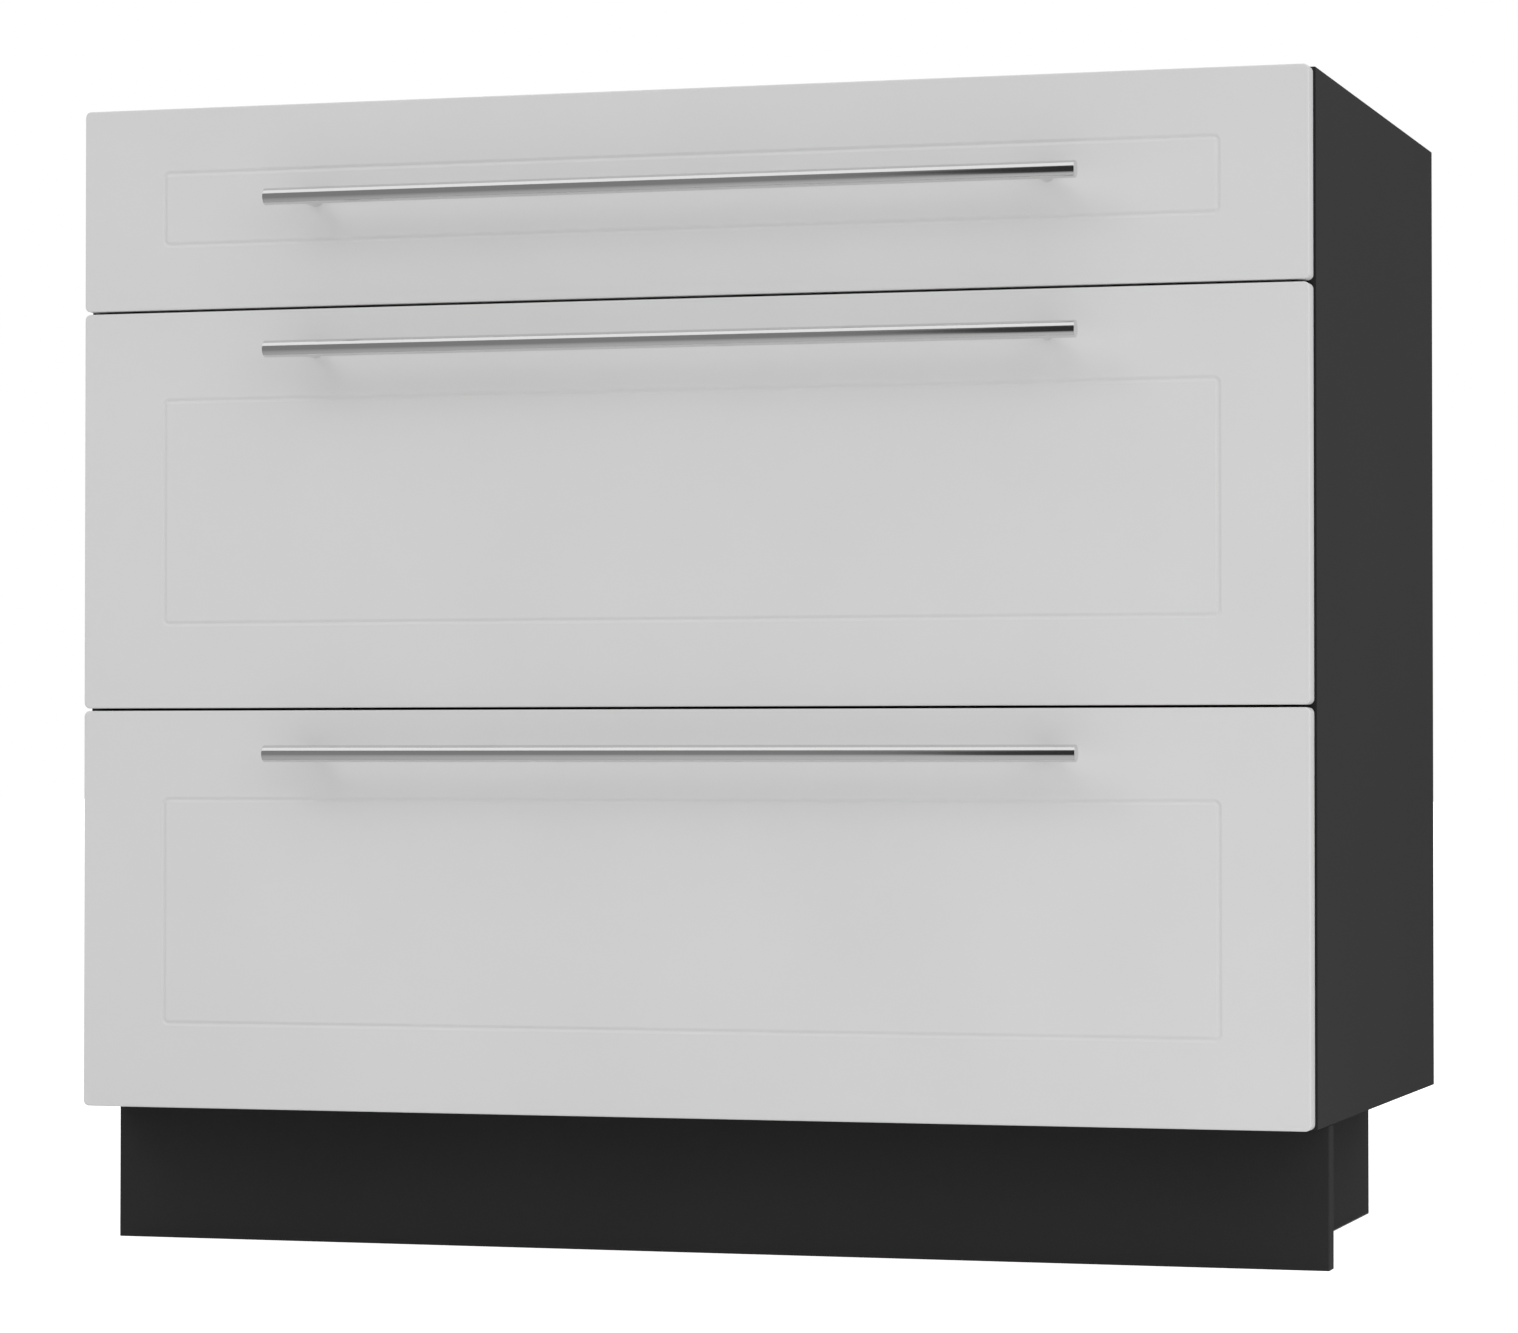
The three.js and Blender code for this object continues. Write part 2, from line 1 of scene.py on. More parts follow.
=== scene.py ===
"""A kitchen base cabinet with three drawers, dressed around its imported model.

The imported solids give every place. Fronts, handles and runners are made again here as finer surfaces, the
boards keep their solids with softened edges, and the small hardware that has no solid is added. Metres, with
+Z up and the drawer fronts facing -Y.
"""

from __future__ import annotations

import logging
import math
from dataclasses import dataclass
from enum import Enum
from typing import Callable, Iterable, Sequence

import bmesh
import bpy
import numpy as np
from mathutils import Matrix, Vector

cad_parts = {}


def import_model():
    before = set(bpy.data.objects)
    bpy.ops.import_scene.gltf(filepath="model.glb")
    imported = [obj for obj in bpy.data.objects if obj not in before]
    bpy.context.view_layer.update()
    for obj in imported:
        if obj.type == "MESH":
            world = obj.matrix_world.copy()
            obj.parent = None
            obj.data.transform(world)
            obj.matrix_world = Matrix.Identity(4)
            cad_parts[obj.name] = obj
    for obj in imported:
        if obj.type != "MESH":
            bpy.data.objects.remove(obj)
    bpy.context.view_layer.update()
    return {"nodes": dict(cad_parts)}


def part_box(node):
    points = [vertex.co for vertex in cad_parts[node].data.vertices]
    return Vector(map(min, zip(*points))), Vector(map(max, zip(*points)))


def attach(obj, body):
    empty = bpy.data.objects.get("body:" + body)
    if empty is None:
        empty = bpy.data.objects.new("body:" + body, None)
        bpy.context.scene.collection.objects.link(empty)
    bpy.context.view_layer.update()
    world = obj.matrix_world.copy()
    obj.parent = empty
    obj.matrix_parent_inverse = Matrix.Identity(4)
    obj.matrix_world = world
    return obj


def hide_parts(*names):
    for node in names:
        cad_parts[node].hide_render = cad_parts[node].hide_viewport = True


LOG = logging.getLogger("cabinet")
WELD_DISTANCE = 1e-6
GRID_DIGITS = 9  # digits kept where values that differ by rounding have to count as equal
SMOOTH_BELOW = math.radians(32)
ACROSS, ALONG = 0, 1  # the x and y axes
CARCASS = "carcass"  # the body that stands still

Span = tuple[float, float]
Triple = tuple[float, float, float]
Tone = tuple[float, float, float, float]
Socket = bpy.types.NodeSocket


class Drawer(Enum):
    """The three drawers, by the first word of their nodes' names."""

    TOP = "top"
    MIDDLE = "middle"
    BOTTOM = "bottom"

    @property
    def body(self) -> str:
        """The body that the drawer moves with."""
        return f"{self.value}_drawer"

    @property
    def runner_body(self) -> str:
        """The body that its two intermediate runner members move with."""
        return f"{self.value}_intermediates"


class Side(Enum):
    """The cabinet's two sides, by the sign of their x."""

    LEFT = -1
    RIGHT = 1

    @property
    def word(self) -> str:
        """The side's word in a node's name."""
        return self.name.lower()

    def outer(self, box: Box) -> float:
        """Where a box's face on this side lies along x."""
        return box.high[0] if self is Side.RIGHT else box.low[0]


class Member(Enum):
    """The three members of a runner, by their words in a node's name."""

    CABINET = "cabinet_member"
    INTERMEDIATE = "intermediate"
    DRAWER = "drawer_member"


class Facing(Enum):
    """Ways that a small part can face, as the directions that its own x, y and z are laid along."""

    RIGHT = ((0, 1, 0), (0, 0, 1), (1, 0, 0))
    LEFT = ((0, -1, 0), (0, 0, 1), (-1, 0, 0))
    BACK = ((-1, 0, 0), (0, 0, 1), (0, 1, 0))
    UP = ((1, 0, 0), (0, 1, 0), (0, 0, 1))
    DOWN = ((1, 0, 0), (0, -1, 0), (0, 0, -1))

    def turn(self, shape: Surface) -> Surface:
        """A shape that faces +z, turned to face this way."""
        return Surface(shape.points @ np.array(self.value, float), shape.faces)


@dataclass(frozen=True)
class Box:
    """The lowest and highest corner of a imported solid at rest."""

    low: np.ndarray
    high: np.ndarray

    @staticmethod
    def of(node: str) -> Box:
        """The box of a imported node."""
        low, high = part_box(node)
        return Box(np.array(low), np.array(high))

    @property
    def middle(self) -> np.ndarray:
        """The box's centre."""
        return (self.low + self.high) / 2

    @property
    def size(self) -> np.ndarray:
        """The box's three lengths."""
        return self.high - self.low


# ---- Surfaces ----


def band(rows: int, columns: int) -> np.ndarray:
    """Quads between rows of points that close on themselves.

    Args:
        rows: How many rows there are, one after another.
        columns: How many points each row has.

    Returns:
        Corner indices, where point c of row r has index r * columns + c.
    """
    row, column = np.meshgrid(np.arange(rows - 1), np.arange(columns), indexing="ij")
    beside = (column + 1) % columns
    corners = [row * columns + column, row * columns + beside]
    corners += [(row + 1) * columns + beside, (row + 1) * columns + column]
    return np.stack(corners, axis=-1).reshape(-1, 4)


@dataclass(frozen=True)
class Surface:
    """Points of a shape and its faces, in one array for each number of corners."""

    points: np.ndarray
    faces: tuple[np.ndarray, ...]

    @staticmethod
    def through(rings: np.ndarray) -> Surface:
        """A closed shape through rings of equally many points, with one flat face on each end.

        Args:
            rings: Points as (ring, point, xyz).

        Returns:
            The shape, whose side is the grid of ring number against point number.
        """
        count, around = rings.shape[:2]
        first = np.arange(around)[None, ::-1]
        last = (count - 1) * around + np.arange(around)[None]
        return Surface(rings.reshape(-1, 3), (band(count, around), first, last))

    @staticmethod
    def joined(parts: Iterable[Surface]) -> Surface:
        """Several shapes as one.

        Args:
            parts: The shapes.

        Returns:
            One shape, in which each of them is still closed by itself.
        """
        points, faces, start = [], [], 0
        for part in parts:
            points.append(part.points)
            faces += [corners + start for corners in part.faces]
            start += len(part.points)
        return Surface(np.concatenate(points), tuple(faces))

    def repeated(self, places: np.ndarray) -> Surface:
        """A copy of the shape at each place: every point plus every place, as one sum of two arrays.

        Args:
            places: Where the copies stand.

        Returns:
            All copies as one shape.
        """
        points = (places[:, None, :] + self.points[None]).reshape(-1, 3)
        starts = np.arange(len(places))[:, None, None] * len(self.points)
        faces = tuple((corners[None] + starts).reshape(-1, corners.shape[1]) for corners in self.faces)
        return Surface(points, faces)

    def mesh(self, name: str) -> bpy.types.Mesh:
        """A mesh of the shape, with doubled points merged and its faces turned outwards.

        Args:
            name: The mesh's name.

        Returns:
            The mesh, smooth where its faces meet at a small angle.
        """
        made = bpy.data.meshes.new(name)
        made.from_pydata(self.points.tolist(), [], [face for block in self.faces for face in block.tolist()])
        shell = bmesh.new()
        shell.from_mesh(made)
        bmesh.ops.remove_doubles(shell, verts=shell.verts, dist=WELD_DISTANCE)
        bmesh.ops.recalc_face_normals(shell, faces=shell.faces)
        shell.to_mesh(made)
        shell.free()
        made.shade_smooth()
        made.set_sharp_from_angle(angle=SMOOTH_BELOW)
        return made


def crossings(*lines: float | Sequence[float]) -> np.ndarray:
    """Points at every combination of the given values of x, of y and of z."""
    return np.stack([part.ravel() for part in np.meshgrid(*lines)], axis=-1)


def arc(centre: Sequence[float], radius: float, start: float, end: float, steps: int) -> np.ndarray:
    """Points of an arc: the centre plus the radius times cosine and sine of equally spaced degrees."""
    angle = np.radians(np.linspace(start, end, steps + 1))
    return np.stack([centre[0] + radius * np.cos(angle), centre[1] + radius * np.sin(angle)], axis=-1)


def turned(profile: np.ndarray, sides: int) -> Surface:
    """A profile turned about z.

    A point at radius r and height h becomes (r cos a, r sin a, h) for equally spaced angles a.

    Args:
        profile: Pairs of radius and height, from one end to the other.
        sides: How many angles there are.

    Returns:
        The turned shape.
    """
    angle = np.linspace(0, 2 * np.pi, sides, endpoint=False)
    radius, height = profile[:, :1], profile[:, 1:]
    rings = [radius * np.cos(angle), radius * np.sin(angle), height + 0 * angle]
    return Surface.through(np.stack(rings, axis=-1))


def rounded_rectangles(halves: np.ndarray, radius: np.ndarray, steps: int) -> np.ndarray:
    """Rectangles with rounded corners, one for each row of sizes.

    Each corner's arc is centred one radius inside the corner, and its points are the centre plus the radius
    times the cosine and sine of angles that run through that corner's quarter turn.

    Args:
        halves: Half width and half height of each rectangle.
        radius: Corner radius of each rectangle.
        steps: Steps in each corner's arc.

    Returns:
        Points as (rectangle, point, xy), anticlockwise.
    """
    quarter, step = np.meshgrid(np.arange(4), np.arange(steps + 1), indexing="ij")
    angle = ((quarter + step / steps) * np.pi / 2).ravel()
    corner = quarter.ravel()
    sign = np.stack([np.array([1, -1, -1, 1])[corner], np.array([1, 1, -1, -1])[corner]], axis=-1)
    turn = np.stack([np.cos(angle), np.sin(angle)], axis=-1)
    centres = sign[None] * (halves - radius[:, None])[:, None, :]
    return centres + radius[:, None, None] * turn[None]


@dataclass(frozen=True)
class BentSheet:
    """Sheet steel that is pierced along one strip and bent to a section.

    The flat sheet is a grid of s, the length across the section, against y. A pierced hole is a square patch
    of that grid, filled by rings that blend from the square to the hole's outline. Bending looks each s up
    along the section's line, which has a quarter circle at each corner.

    Attributes:
        corners: The section's corners [u, v], at the middle of the sheet.
        bend: Radius of the bends.
        thickness: The sheet's thickness.
        ends: Where the sheet starts and ends along y.
        holes: Places of the holes along y, which lie on the section's middle.
        hole: Half width and half length of a hole.
        patch_half: Half width of the square around a hole.
        patch_steps: Steps along each side of that square.
        patch_rings: Rings from the square to the hole.
        bend_steps: Steps in each bend.
    """

    corners: tuple[Span, ...]
    bend: float
    thickness: float
    ends: Span
    holes: tuple[float, ...] = ()
    hole: Span = (0.0023, 0.0023)
    patch_half: float = 0.006
    patch_steps: int = 6
    patch_rings: int = 4
    bend_steps: int = 4

    def section(self) -> tuple[np.ndarray, np.ndarray]:
        """The section's line and the length along it.

        Returns:
            Points [u, v], and the length from the line's start to each.
        """
        line = [np.array([self.corners[0]])]
        trios = zip(self.corners, self.corners[1:], self.corners[2:])
        for before, corner, after in (np.array(trio) for trio in trios):
            inward = (corner - before) / np.linalg.norm(corner - before)
            onward = (after - corner) / np.linalg.norm(after - corner)
            centre = corner + self.bend * (onward - inward)
            angle = np.linspace(0, np.pi / 2, self.bend_steps + 1)[:, None]
            line.append(centre + self.bend * (inward * np.sin(angle) - onward * np.cos(angle)))
        line.append(np.array([self.corners[-1]]))
        points = np.concatenate(line)
        return points, np.concatenate([[0], np.cumsum(np.linalg.norm(np.diff(points, axis=0), axis=1))])

    def flat(self, lengths: np.ndarray) -> Surface:
        """The unbent sheet, as points (s, y, 0).

        Args:
            lengths: The section's lengths, where the sheet has a line of points.

        Returns:
            The pierced sheet.
        """
        middle = lengths[-1] / 2
        patch = np.linspace(-self.patch_half, self.patch_half, self.patch_steps + 1)
        s_lines = np.concatenate([lengths, patch + middle])
        y_lines = np.concatenate([self.ends, *(patch + place for place in self.holes)])
        lines = [np.unique(np.round(values, GRID_DIGITS)) for values in (s_lines, y_lines)]
        s, y = np.meshgrid(*lines, indexing="ij")
        index = np.arange(s.size).reshape(s.shape)
        cells = [index[:-1, :-1], index[1:, :-1], index[1:, 1:], index[:-1, 1:]]
        cells = np.stack([cell.ravel() for cell in cells], axis=-1)
        from_middle, along = np.abs(s.ravel()[cells].mean(1) - middle), y.ravel()[cells].mean(1)
        places = np.array(self.holes).reshape(-1, 1)
        beside_hole = (np.abs(along - places) < self.patch_half).any(0)
        kept = cells[~(beside_hole & (from_middle < self.patch_half))]
        sheet = Surface(np.stack([s.ravel(), y.ravel(), 0 * s.ravel()], axis=-1), (kept,))
        if not self.holes:
            return sheet
        return Surface.joined([sheet, self.patch().repeated(crossings(middle, self.holes, 0.0))])

    def patch(self) -> Surface:
        """A square with one hole, whose rings are a blend from the square's edge to the hole's.

        Ring t is (1 - t) times the square's edge plus t times the hole's, for t from 0 to 1.

        Returns:
            The patch about (0, 0, 0).
        """
        corner, step = np.divmod(np.arange(4 * self.patch_steps), self.patch_steps)
        share = (step / self.patch_steps)[:, None]
        corners = np.array([[-1, -1], [1, -1], [1, 1], [-1, 1]], float)
        square = self.patch_half * ((1 - share) * corners[corner] + share * corners[(corner + 1) % 4])
        first_corner = -135
        angle = np.radians(90 * (corner + share[:, 0]) + first_corner)
        half_width, half_length = self.hole
        hole = np.stack([np.cos(angle), np.sin(angle)], axis=-1) * half_width
        hole[:, 1] += (half_length - half_width) * np.sign(np.round(np.sin(angle), GRID_DIGITS))
        blend = np.linspace(0, 1, self.patch_rings)[:, None, None]
        rings = (1 - blend) * square[None] + blend * hole[None]
        points = np.concatenate([rings, 0 * rings[..., :1]], axis=-1).reshape(-1, 3)
        return Surface(points, (band(len(rings), len(square)),))

    def surface(self) -> Surface:
        """The bent sheet's middle surface: each (s, y) carried to (u, y, v), by the section's line at s.

        Returns:
            The surface, as points (u, y, v).
        """
        line, lengths = self.section()
        flat = self.flat(lengths)
        s, y = flat.points[:, 0], flat.points[:, 1]
        u, v = np.interp(s, lengths, line[:, 0]), np.interp(s, lengths, line[:, 1])
        return Surface(np.stack([u, y, v], axis=-1), flat.faces)


# ---- Finishes ----

NOISE_CORE = (0.3, 0.7)  # the range in which most of a noise's values lie
NOISE_SPAN = (0.2, 0.8)  # the range in which nearly all lie
MIX_COLOURS = (6, 7, 2)  # numbers of the Mix node's two colour inputs and of its colour output
MIX_NUMBERS = (2, 3, 0)  # the same for plain numbers


@dataclass(frozen=True)
class Edge:
    """A plane across a board, past which its edge has another finish.

    Attributes:
        axis: The axis that it crosses.
        place: Where it crosses it.
        sign: 1 where the edge lies further up the axis, and -1 where it lies further down.
    """

    axis: int
    place: float
    sign: int


def grey(level: float, warmth: float = 0.0) -> Tone:
    """A linear grey, with a little more red and less blue where it is warm."""
    return (level * (1 + warmth), level, level * (1 - warmth), 1.0)


class NodeBook:
    """A material's or world's node tree, with short ways to add nodes to it."""

    def __init__(self, tree: bpy.types.NodeTree) -> None:
        """Opens a node tree."""
        self.tree = tree

    @staticmethod
    def opened(owner: bpy.types.Material | bpy.types.World) -> NodeBook:
        """The node tree of a new material or world."""
        owner.use_nodes = True
        return NodeBook(owner.node_tree)

    def add(
        self, kind: str, inputs: dict[int | str, object] | None = None, **settings: object
    ) -> bpy.types.Node:
        """A new node.

        Args:
            kind: The node's type, without its ShaderNode prefix.
            inputs: A value or another node's output for each named or numbered input.
            **settings: The node's own settings.

        Returns:
            The node.
        """
        node = self.tree.nodes.new(f"ShaderNode{kind}")
        for key, value in settings.items():
            setattr(node, key, value)
        for key, value in (inputs or {}).items():
            self.give(node, key, value)
        return node

    def give(self, node: bpy.types.Node, key: int | str, value: object) -> None:
        """Joins an output to a node's input, or sets that input's own value.

        Args:
            node: The node.
            key: The input's name or number.
            value: The output, or the value.
        """
        if isinstance(value, bpy.types.NodeSocket):
            self.tree.links.new(value, node.inputs[key])
        else:
            node.inputs[key].default_value = value

    def show(self, surface: Socket) -> None:
        """Makes a shader the material's surface."""
        self.give(self.tree.nodes["Material Output"], "Surface", surface)

    def math(self, operation: str, *values: float | Socket) -> Socket:
        """The result of one step of arithmetic."""
        return self.add("Math", dict(enumerate(values)), operation=operation).outputs[0]

    def place(self) -> Socket:
        """The point's own coordinates, in metres."""
        return self.add("TexCoord").outputs["Object"]

    def parts(self, vector: Socket) -> tuple[Socket, Socket, Socket]:
        """A vector's x, y and z."""
        return tuple(self.add("SeparateXYZ", {0: vector}).outputs)

    def scaled(self, vector: Socket, by: Triple) -> Socket:
        """A vector times a number along each axis."""
        return self.add("VectorMath", {0: vector, 1: by}, operation="MULTIPLY").outputs[0]

    def noise(self, vector: Socket, scale: float, detail: float = 2.0, roughness: float = 0.5) -> Socket:
        """Fractal noise from 0 to 1."""
        inputs = {"Vector": vector, "Scale": scale, "Detail": detail, "Roughness": roughness}
        return self.add("TexNoise", inputs).outputs[0]

    def ranged(self, value: Socket, source: Span, target: Span = (0.0, 1.0)) -> Socket:
        """A value carried from one range to another and held inside it."""
        return self.add("MapRange", dict(enumerate((value, *source, *target)))).outputs[0]

    def mixed(self, share: float | Socket, first: object, second: object) -> Socket:
        """A colour between two colours."""
        one, other, out = MIX_COLOURS
        return self.add("Mix", {0: share, one: first, other: second}, data_type="RGBA").outputs[out]

    def blended(self, share: float | Socket, first: float | Socket, second: float | Socket) -> Socket:
        """A number between two numbers."""
        one, other, out = MIX_NUMBERS
        return self.add("Mix", {0: share, one: first, other: second}, data_type="FLOAT").outputs[out]

    def bump(self, height: Socket, distance: float, strength: float) -> Socket:
        """A normal that follows a height from 0 to 1 over a distance in metres."""
        inputs = {"Height": height, "Distance": distance, "Strength": strength}
        return self.add("Bump", inputs).outputs["Normal"]

    def beyond(self, edge: Edge) -> Socket:
        """1 where the point lies past an edge, and 0 before it."""
        along = self.math("MULTIPLY", self.parts(self.place())[edge.axis], float(edge.sign))
        return self.math("GREATER_THAN", along, edge.sign * edge.place)

    def clouded(self, scale: float, level: float, cloud: float, warmth: float = 0.0) -> Socket:
        """A grey with soft clouds.

        Args:
            scale: Clouds per metre.
            level: The grey.
            cloud: How much darker and lighter it gets, as a share.
            warmth: The grey's warmth.

        Returns:
            The colour.
        """
        share = self.ranged(self.noise(self.place(), scale, detail=3.0), NOISE_CORE)
        return self.mixed(share, grey(level * (1 - cloud), warmth), grey(level * (1 + cloud), warmth))


@dataclass(frozen=True)
class Finish:
    """A surface finish, whose material is made once.

    Attributes:
        name: The material's name.
        slot: The record's material slot, where the finish has one; not used here.
    """

    name: str
    slot: str | None

    def material(self) -> bpy.types.Material:
        """The finish's material.

        Returns:
            The one that is there, or a new one.
        """
        known = bpy.data.materials.get(self.name)
        if known:
            return known
        made = bpy.data.materials.new(self.name)
        self.paint(NodeBook.opened(made), made.node_tree.nodes["Principled BSDF"])
        return made

    def paint(self, book: NodeBook, shader: bpy.types.Node) -> None:
        """Sets up the finish's nodes."""
        raise NotImplementedError

    def dress(self, piece: bpy.types.Object) -> None:
        """Gives a piece this finish.

        Args:
            piece: The piece's object.
        """
        if not piece.material_slots:
            piece.data.materials.append(None)
        for place in piece.material_slots:
            place.material = self.material()


@dataclass(frozen=True)
class SatinFilm(Finish):
    """Satin film pressed over a routed board: an even colour with a faint cloud and a very fine texture.

    Attributes:
        level: The film's linear grey.
        cloud: How much its clouds change that, as a share.
        cloud_scale: Clouds per metre.
        roughness: Lowest and highest roughness.
        texture_size: Size of the fine texture.
        texture_height: Its height.
        sheen: The shader's specular level.
    """

    level: float = 0.6
    cloud: float = 0.012
    cloud_scale: float = 7.0
    roughness: Span = (0.40, 0.48)
    texture_size: float = 0.0011
    texture_height: float = 0.00001
    sheen: float = 0.3

    def paint(self, book: NodeBook, shader: bpy.types.Node) -> None:
        """Clouds change the colour, and a fine texture changes the roughness and the normal.

        Args:
            book: The material's node tree.
            shader: Its shader.
        """
        texture = book.noise(book.place(), 1 / self.texture_size, detail=3.0, roughness=0.6)
        book.give(shader, "Base Color", book.clouded(self.cloud_scale, self.level, self.cloud))
        book.give(shader, "Roughness", book.ranged(texture, NOISE_SPAN, self.roughness))
        book.give(shader, "Normal", book.bump(texture, self.texture_height, strength=0.6))
        book.give(shader, "Specular IOR Level", self.sheen)


@dataclass(frozen=True)
class FacedBoard(Finish):
    """Chipboard with a pearl-grained facing.

    Attributes:
        level: The facing's linear grey.
        speck: How much lighter the facing's fine specks are, as a share.
        speck_range: The grain's values over which the specks come up.
        warmth: The facing's warmth.
        grain_size: Size of the pearl grain.
        grain_height: Its height.
        cloud: How much soft clouds change the colour, as a share.
        cloud_scale: Clouds per metre.
        roughness: Lowest and highest roughness.
        sheen: The shader's specular level.
        edging: Where the board's edge strips start.
        edging_gain: Brightness of the edge strips, as a share of the facing's; below 1 it paints shade on
            them, above 1 painted light.
        raw: Where an edge that is left as bare chips starts.
        chips: Chips per metre along x, y and z.
        chip_tones: Colours of the darkest and the lightest chip.
    """

    level: float = 0.03
    speck: float = 0.2
    speck_range: Span = (0.48, 0.74)
    warmth: float = 0.0
    grain_size: float = 0.0009
    grain_height: float = 0.00004
    cloud: float = 0.03
    cloud_scale: float = 5.0
    roughness: Span = (0.5, 0.68)
    sheen: float = 0.3
    edging: tuple[Edge, ...] = ()
    edging_gain: float = 0.5
    raw: Edge | None = None
    chips: Triple = (520.0, 520.0, 240.0)
    chip_tones: tuple[Tone, Tone] = ((0.16, 0.095, 0.05, 1.0), (0.42, 0.29, 0.17, 1.0))

    def paint(self, book: NodeBook, shader: bpy.types.Node) -> None:
        """A pearl grain on the facing, a smoother strip on the edging whose grey is scaled as painted shade
        and light, and coarse chips on a bare edge.

        Args:
            book: The material's node tree.
            shader: Its shader.
        """
        place = book.place()
        grain = book.noise(place, 1 / self.grain_size, roughness=0.7)
        light = grey(self.level * (1 + self.speck), self.warmth)
        face = book.mixed(book.ranged(grain, self.speck_range), grey(self.level, self.warmth), light)
        clouds = book.noise(place, self.cloud_scale, detail=3.0)
        shade = book.ranged(clouds, NOISE_CORE, (1 - self.cloud, 1 + self.cloud))
        colour = book.add("VectorMath", {0: face, 3: shade}, operation="SCALE").outputs[0]
        height = grain
        for edge in self.edging:
            on_edge = book.beyond(edge)
            # The edge strip's colour is the facing's grey times the gain: painted shade where the gain is
            # below 1, painted light where it is above 1.
            colour = book.mixed(on_edge, colour, grey(self.level * self.edging_gain, self.warmth))
            height = book.math("MULTIPLY", height, book.math("SUBTRACT", 1.0, on_edge))
        if self.raw:
            cells = book.add("TexVoronoi", {"Vector": book.scaled(place, self.chips), "Scale": 1.0})
            tone = book.mixed(cells.outputs["Color"], *self.chip_tones)
            colour = book.mixed(book.beyond(self.raw), colour, tone)
        book.give(shader, "Base Color", colour)
        book.give(shader, "Roughness", book.ranged(grain, NOISE_SPAN, self.roughness))
        book.give(shader, "Normal", book.bump(height, self.grain_height, strength=0.5))
        book.give(shader, "Specular IOR Level", self.sheen)


@dataclass(frozen=True)
class Steel(Finish):
    """Steel with fine drawn lines.

    Attributes:
        level: The metal's linear grey.
        warmth: Its warmth, below 0 for bluish zinc.
        roughness: Lowest and highest roughness.
        lines: How many lines per metre there are along x, y and z.
        line_range: The noise's values over which the roughness changes.
        line_height: Depth of the lines.
        cloud: How much soft clouds change the colour, as a share.
        cloud_scale: Clouds per metre.
    """

    level: float = 0.6
    warmth: float = 0.0
    roughness: Span = (0.2, 0.3)
    lines: Triple = (4.0, 1500.0, 1500.0)
    line_range: Span = (0.25, 0.75)
    line_height: float = 0.000004
    cloud: float = 0.06
    cloud_scale: float = 40.0

    def paint(self, book: NodeBook, shader: bpy.types.Node) -> None:
        """Noise stretched along the lines changes the roughness and the normal, clouds change the colour.

        Args:
            book: The material's node tree.
            shader: Its shader.
        """
        drawn = book.noise(book.scaled(book.place(), self.lines), 1.0, detail=3.0, roughness=0.6)
        colour = book.clouded(self.cloud_scale, self.level, self.cloud, self.warmth)
        book.give(shader, "Base Color", colour)
        book.give(shader, "Roughness", book.ranged(drawn, self.line_range, self.roughness))
        book.give(shader, "Normal", book.bump(drawn, self.line_height, strength=0.5))
        book.give(shader, "Metallic", 1.0)


@dataclass(frozen=True)
class MouldedPlastic(Finish):
    """Moulded plastic with the fine, even texture of its mould.

    Attributes:
        colour: Its colour.
        lighter: How much lighter the texture's grains are, as a factor.
        roughness: Lowest and highest roughness.
        grain_scale: Grains per metre.
        grain_height: Their height.
    """

    colour: Triple = (0.02, 0.02, 0.021)
    lighter: float = 1.25
    roughness: Span = (0.42, 0.58)
    grain_scale: float = 2600.0
    grain_height: float = 0.00002

    def paint(self, book: NodeBook, shader: bpy.types.Node) -> None:
        """A fine noise changes colour, roughness and normal.

        Args:
            book: The material's node tree.
            shader: Its shader.
        """
        texture = book.noise(book.place(), self.grain_scale)
        light = (*(self.lighter * part for part in self.colour), 1.0)
        book.give(shader, "Base Color", book.mixed(texture, (*self.colour, 1.0), light))
        book.give(shader, "Roughness", book.ranged(texture, NOISE_SPAN, self.roughness))
        book.give(shader, "Normal", book.bump(texture, self.grain_height, strength=0.4))


FRONT_FILM = SatinFilm("satin_light_grey_film", "front_film")
BOX_FACING = FacedBoard(
    "pale_grey_facing", "box_board", level=0.6, speck=0.06, warmth=0.03, roughness=(0.42, 0.56), sheen=0.4
)
BOX_BOTTOM_FACING = FacedBoard(
    "pale_fibreboard", "box_bottom_board", level=0.56, speck=0.1, warmth=0.05, grain_size=0.0016, sheen=0.3
)
HANDLE_STEEL = Steel(
    "fine_brushed_steel",
    "handle_steel",
    level=0.74,
    roughness=(0.09, 0.12),
    lines=(8.0, 6000.0, 6000.0),
    line_height=0.0000015,
    cloud=0.01,
)
RUNNER_ZINC = Steel(
    "bright_zinc_sheet",
    "runner_steel",
    level=0.56,
    warmth=-0.02,
    roughness=(0.26, 0.4),
    lines=(900.0, 14.0, 900.0),
    cloud=0.12,
)
SCREW_ZINC = Steel(
    "zinc_screw", "runner_steel", level=0.6, warmth=-0.03, roughness=(0.24, 0.36), lines=(1500.0,) * 3
)
BALL_STEEL = Steel("polished_ball", "runner_steel", level=0.62, roughness=(0.06, 0.12), lines=(600.0,) * 3)
CAM_ZINC = Steel(
    "die_cast_zinc", None, level=0.42, warmth=-0.01, roughness=(0.38, 0.55), lines=(900.0,) * 3, cloud=0.15
)
BLACK_PLASTIC = MouldedPlastic("black_moulded_plastic", None)
SOFT_GREY_PLASTIC = MouldedPlastic(
    "soft_grey_bumper", None, colour=(0.45, 0.45, 0.44), roughness=(0.3, 0.42)
)


# ---- Pieces ----

FRONT_LINES = {  # inset and drop of each front's routed line
    Drawer.TOP: (0.047, 0.0),
    Drawer.MIDDLE: (0.0624, 0.0015),
    Drawer.BOTTOM: (0.0624, 0.0015),
}


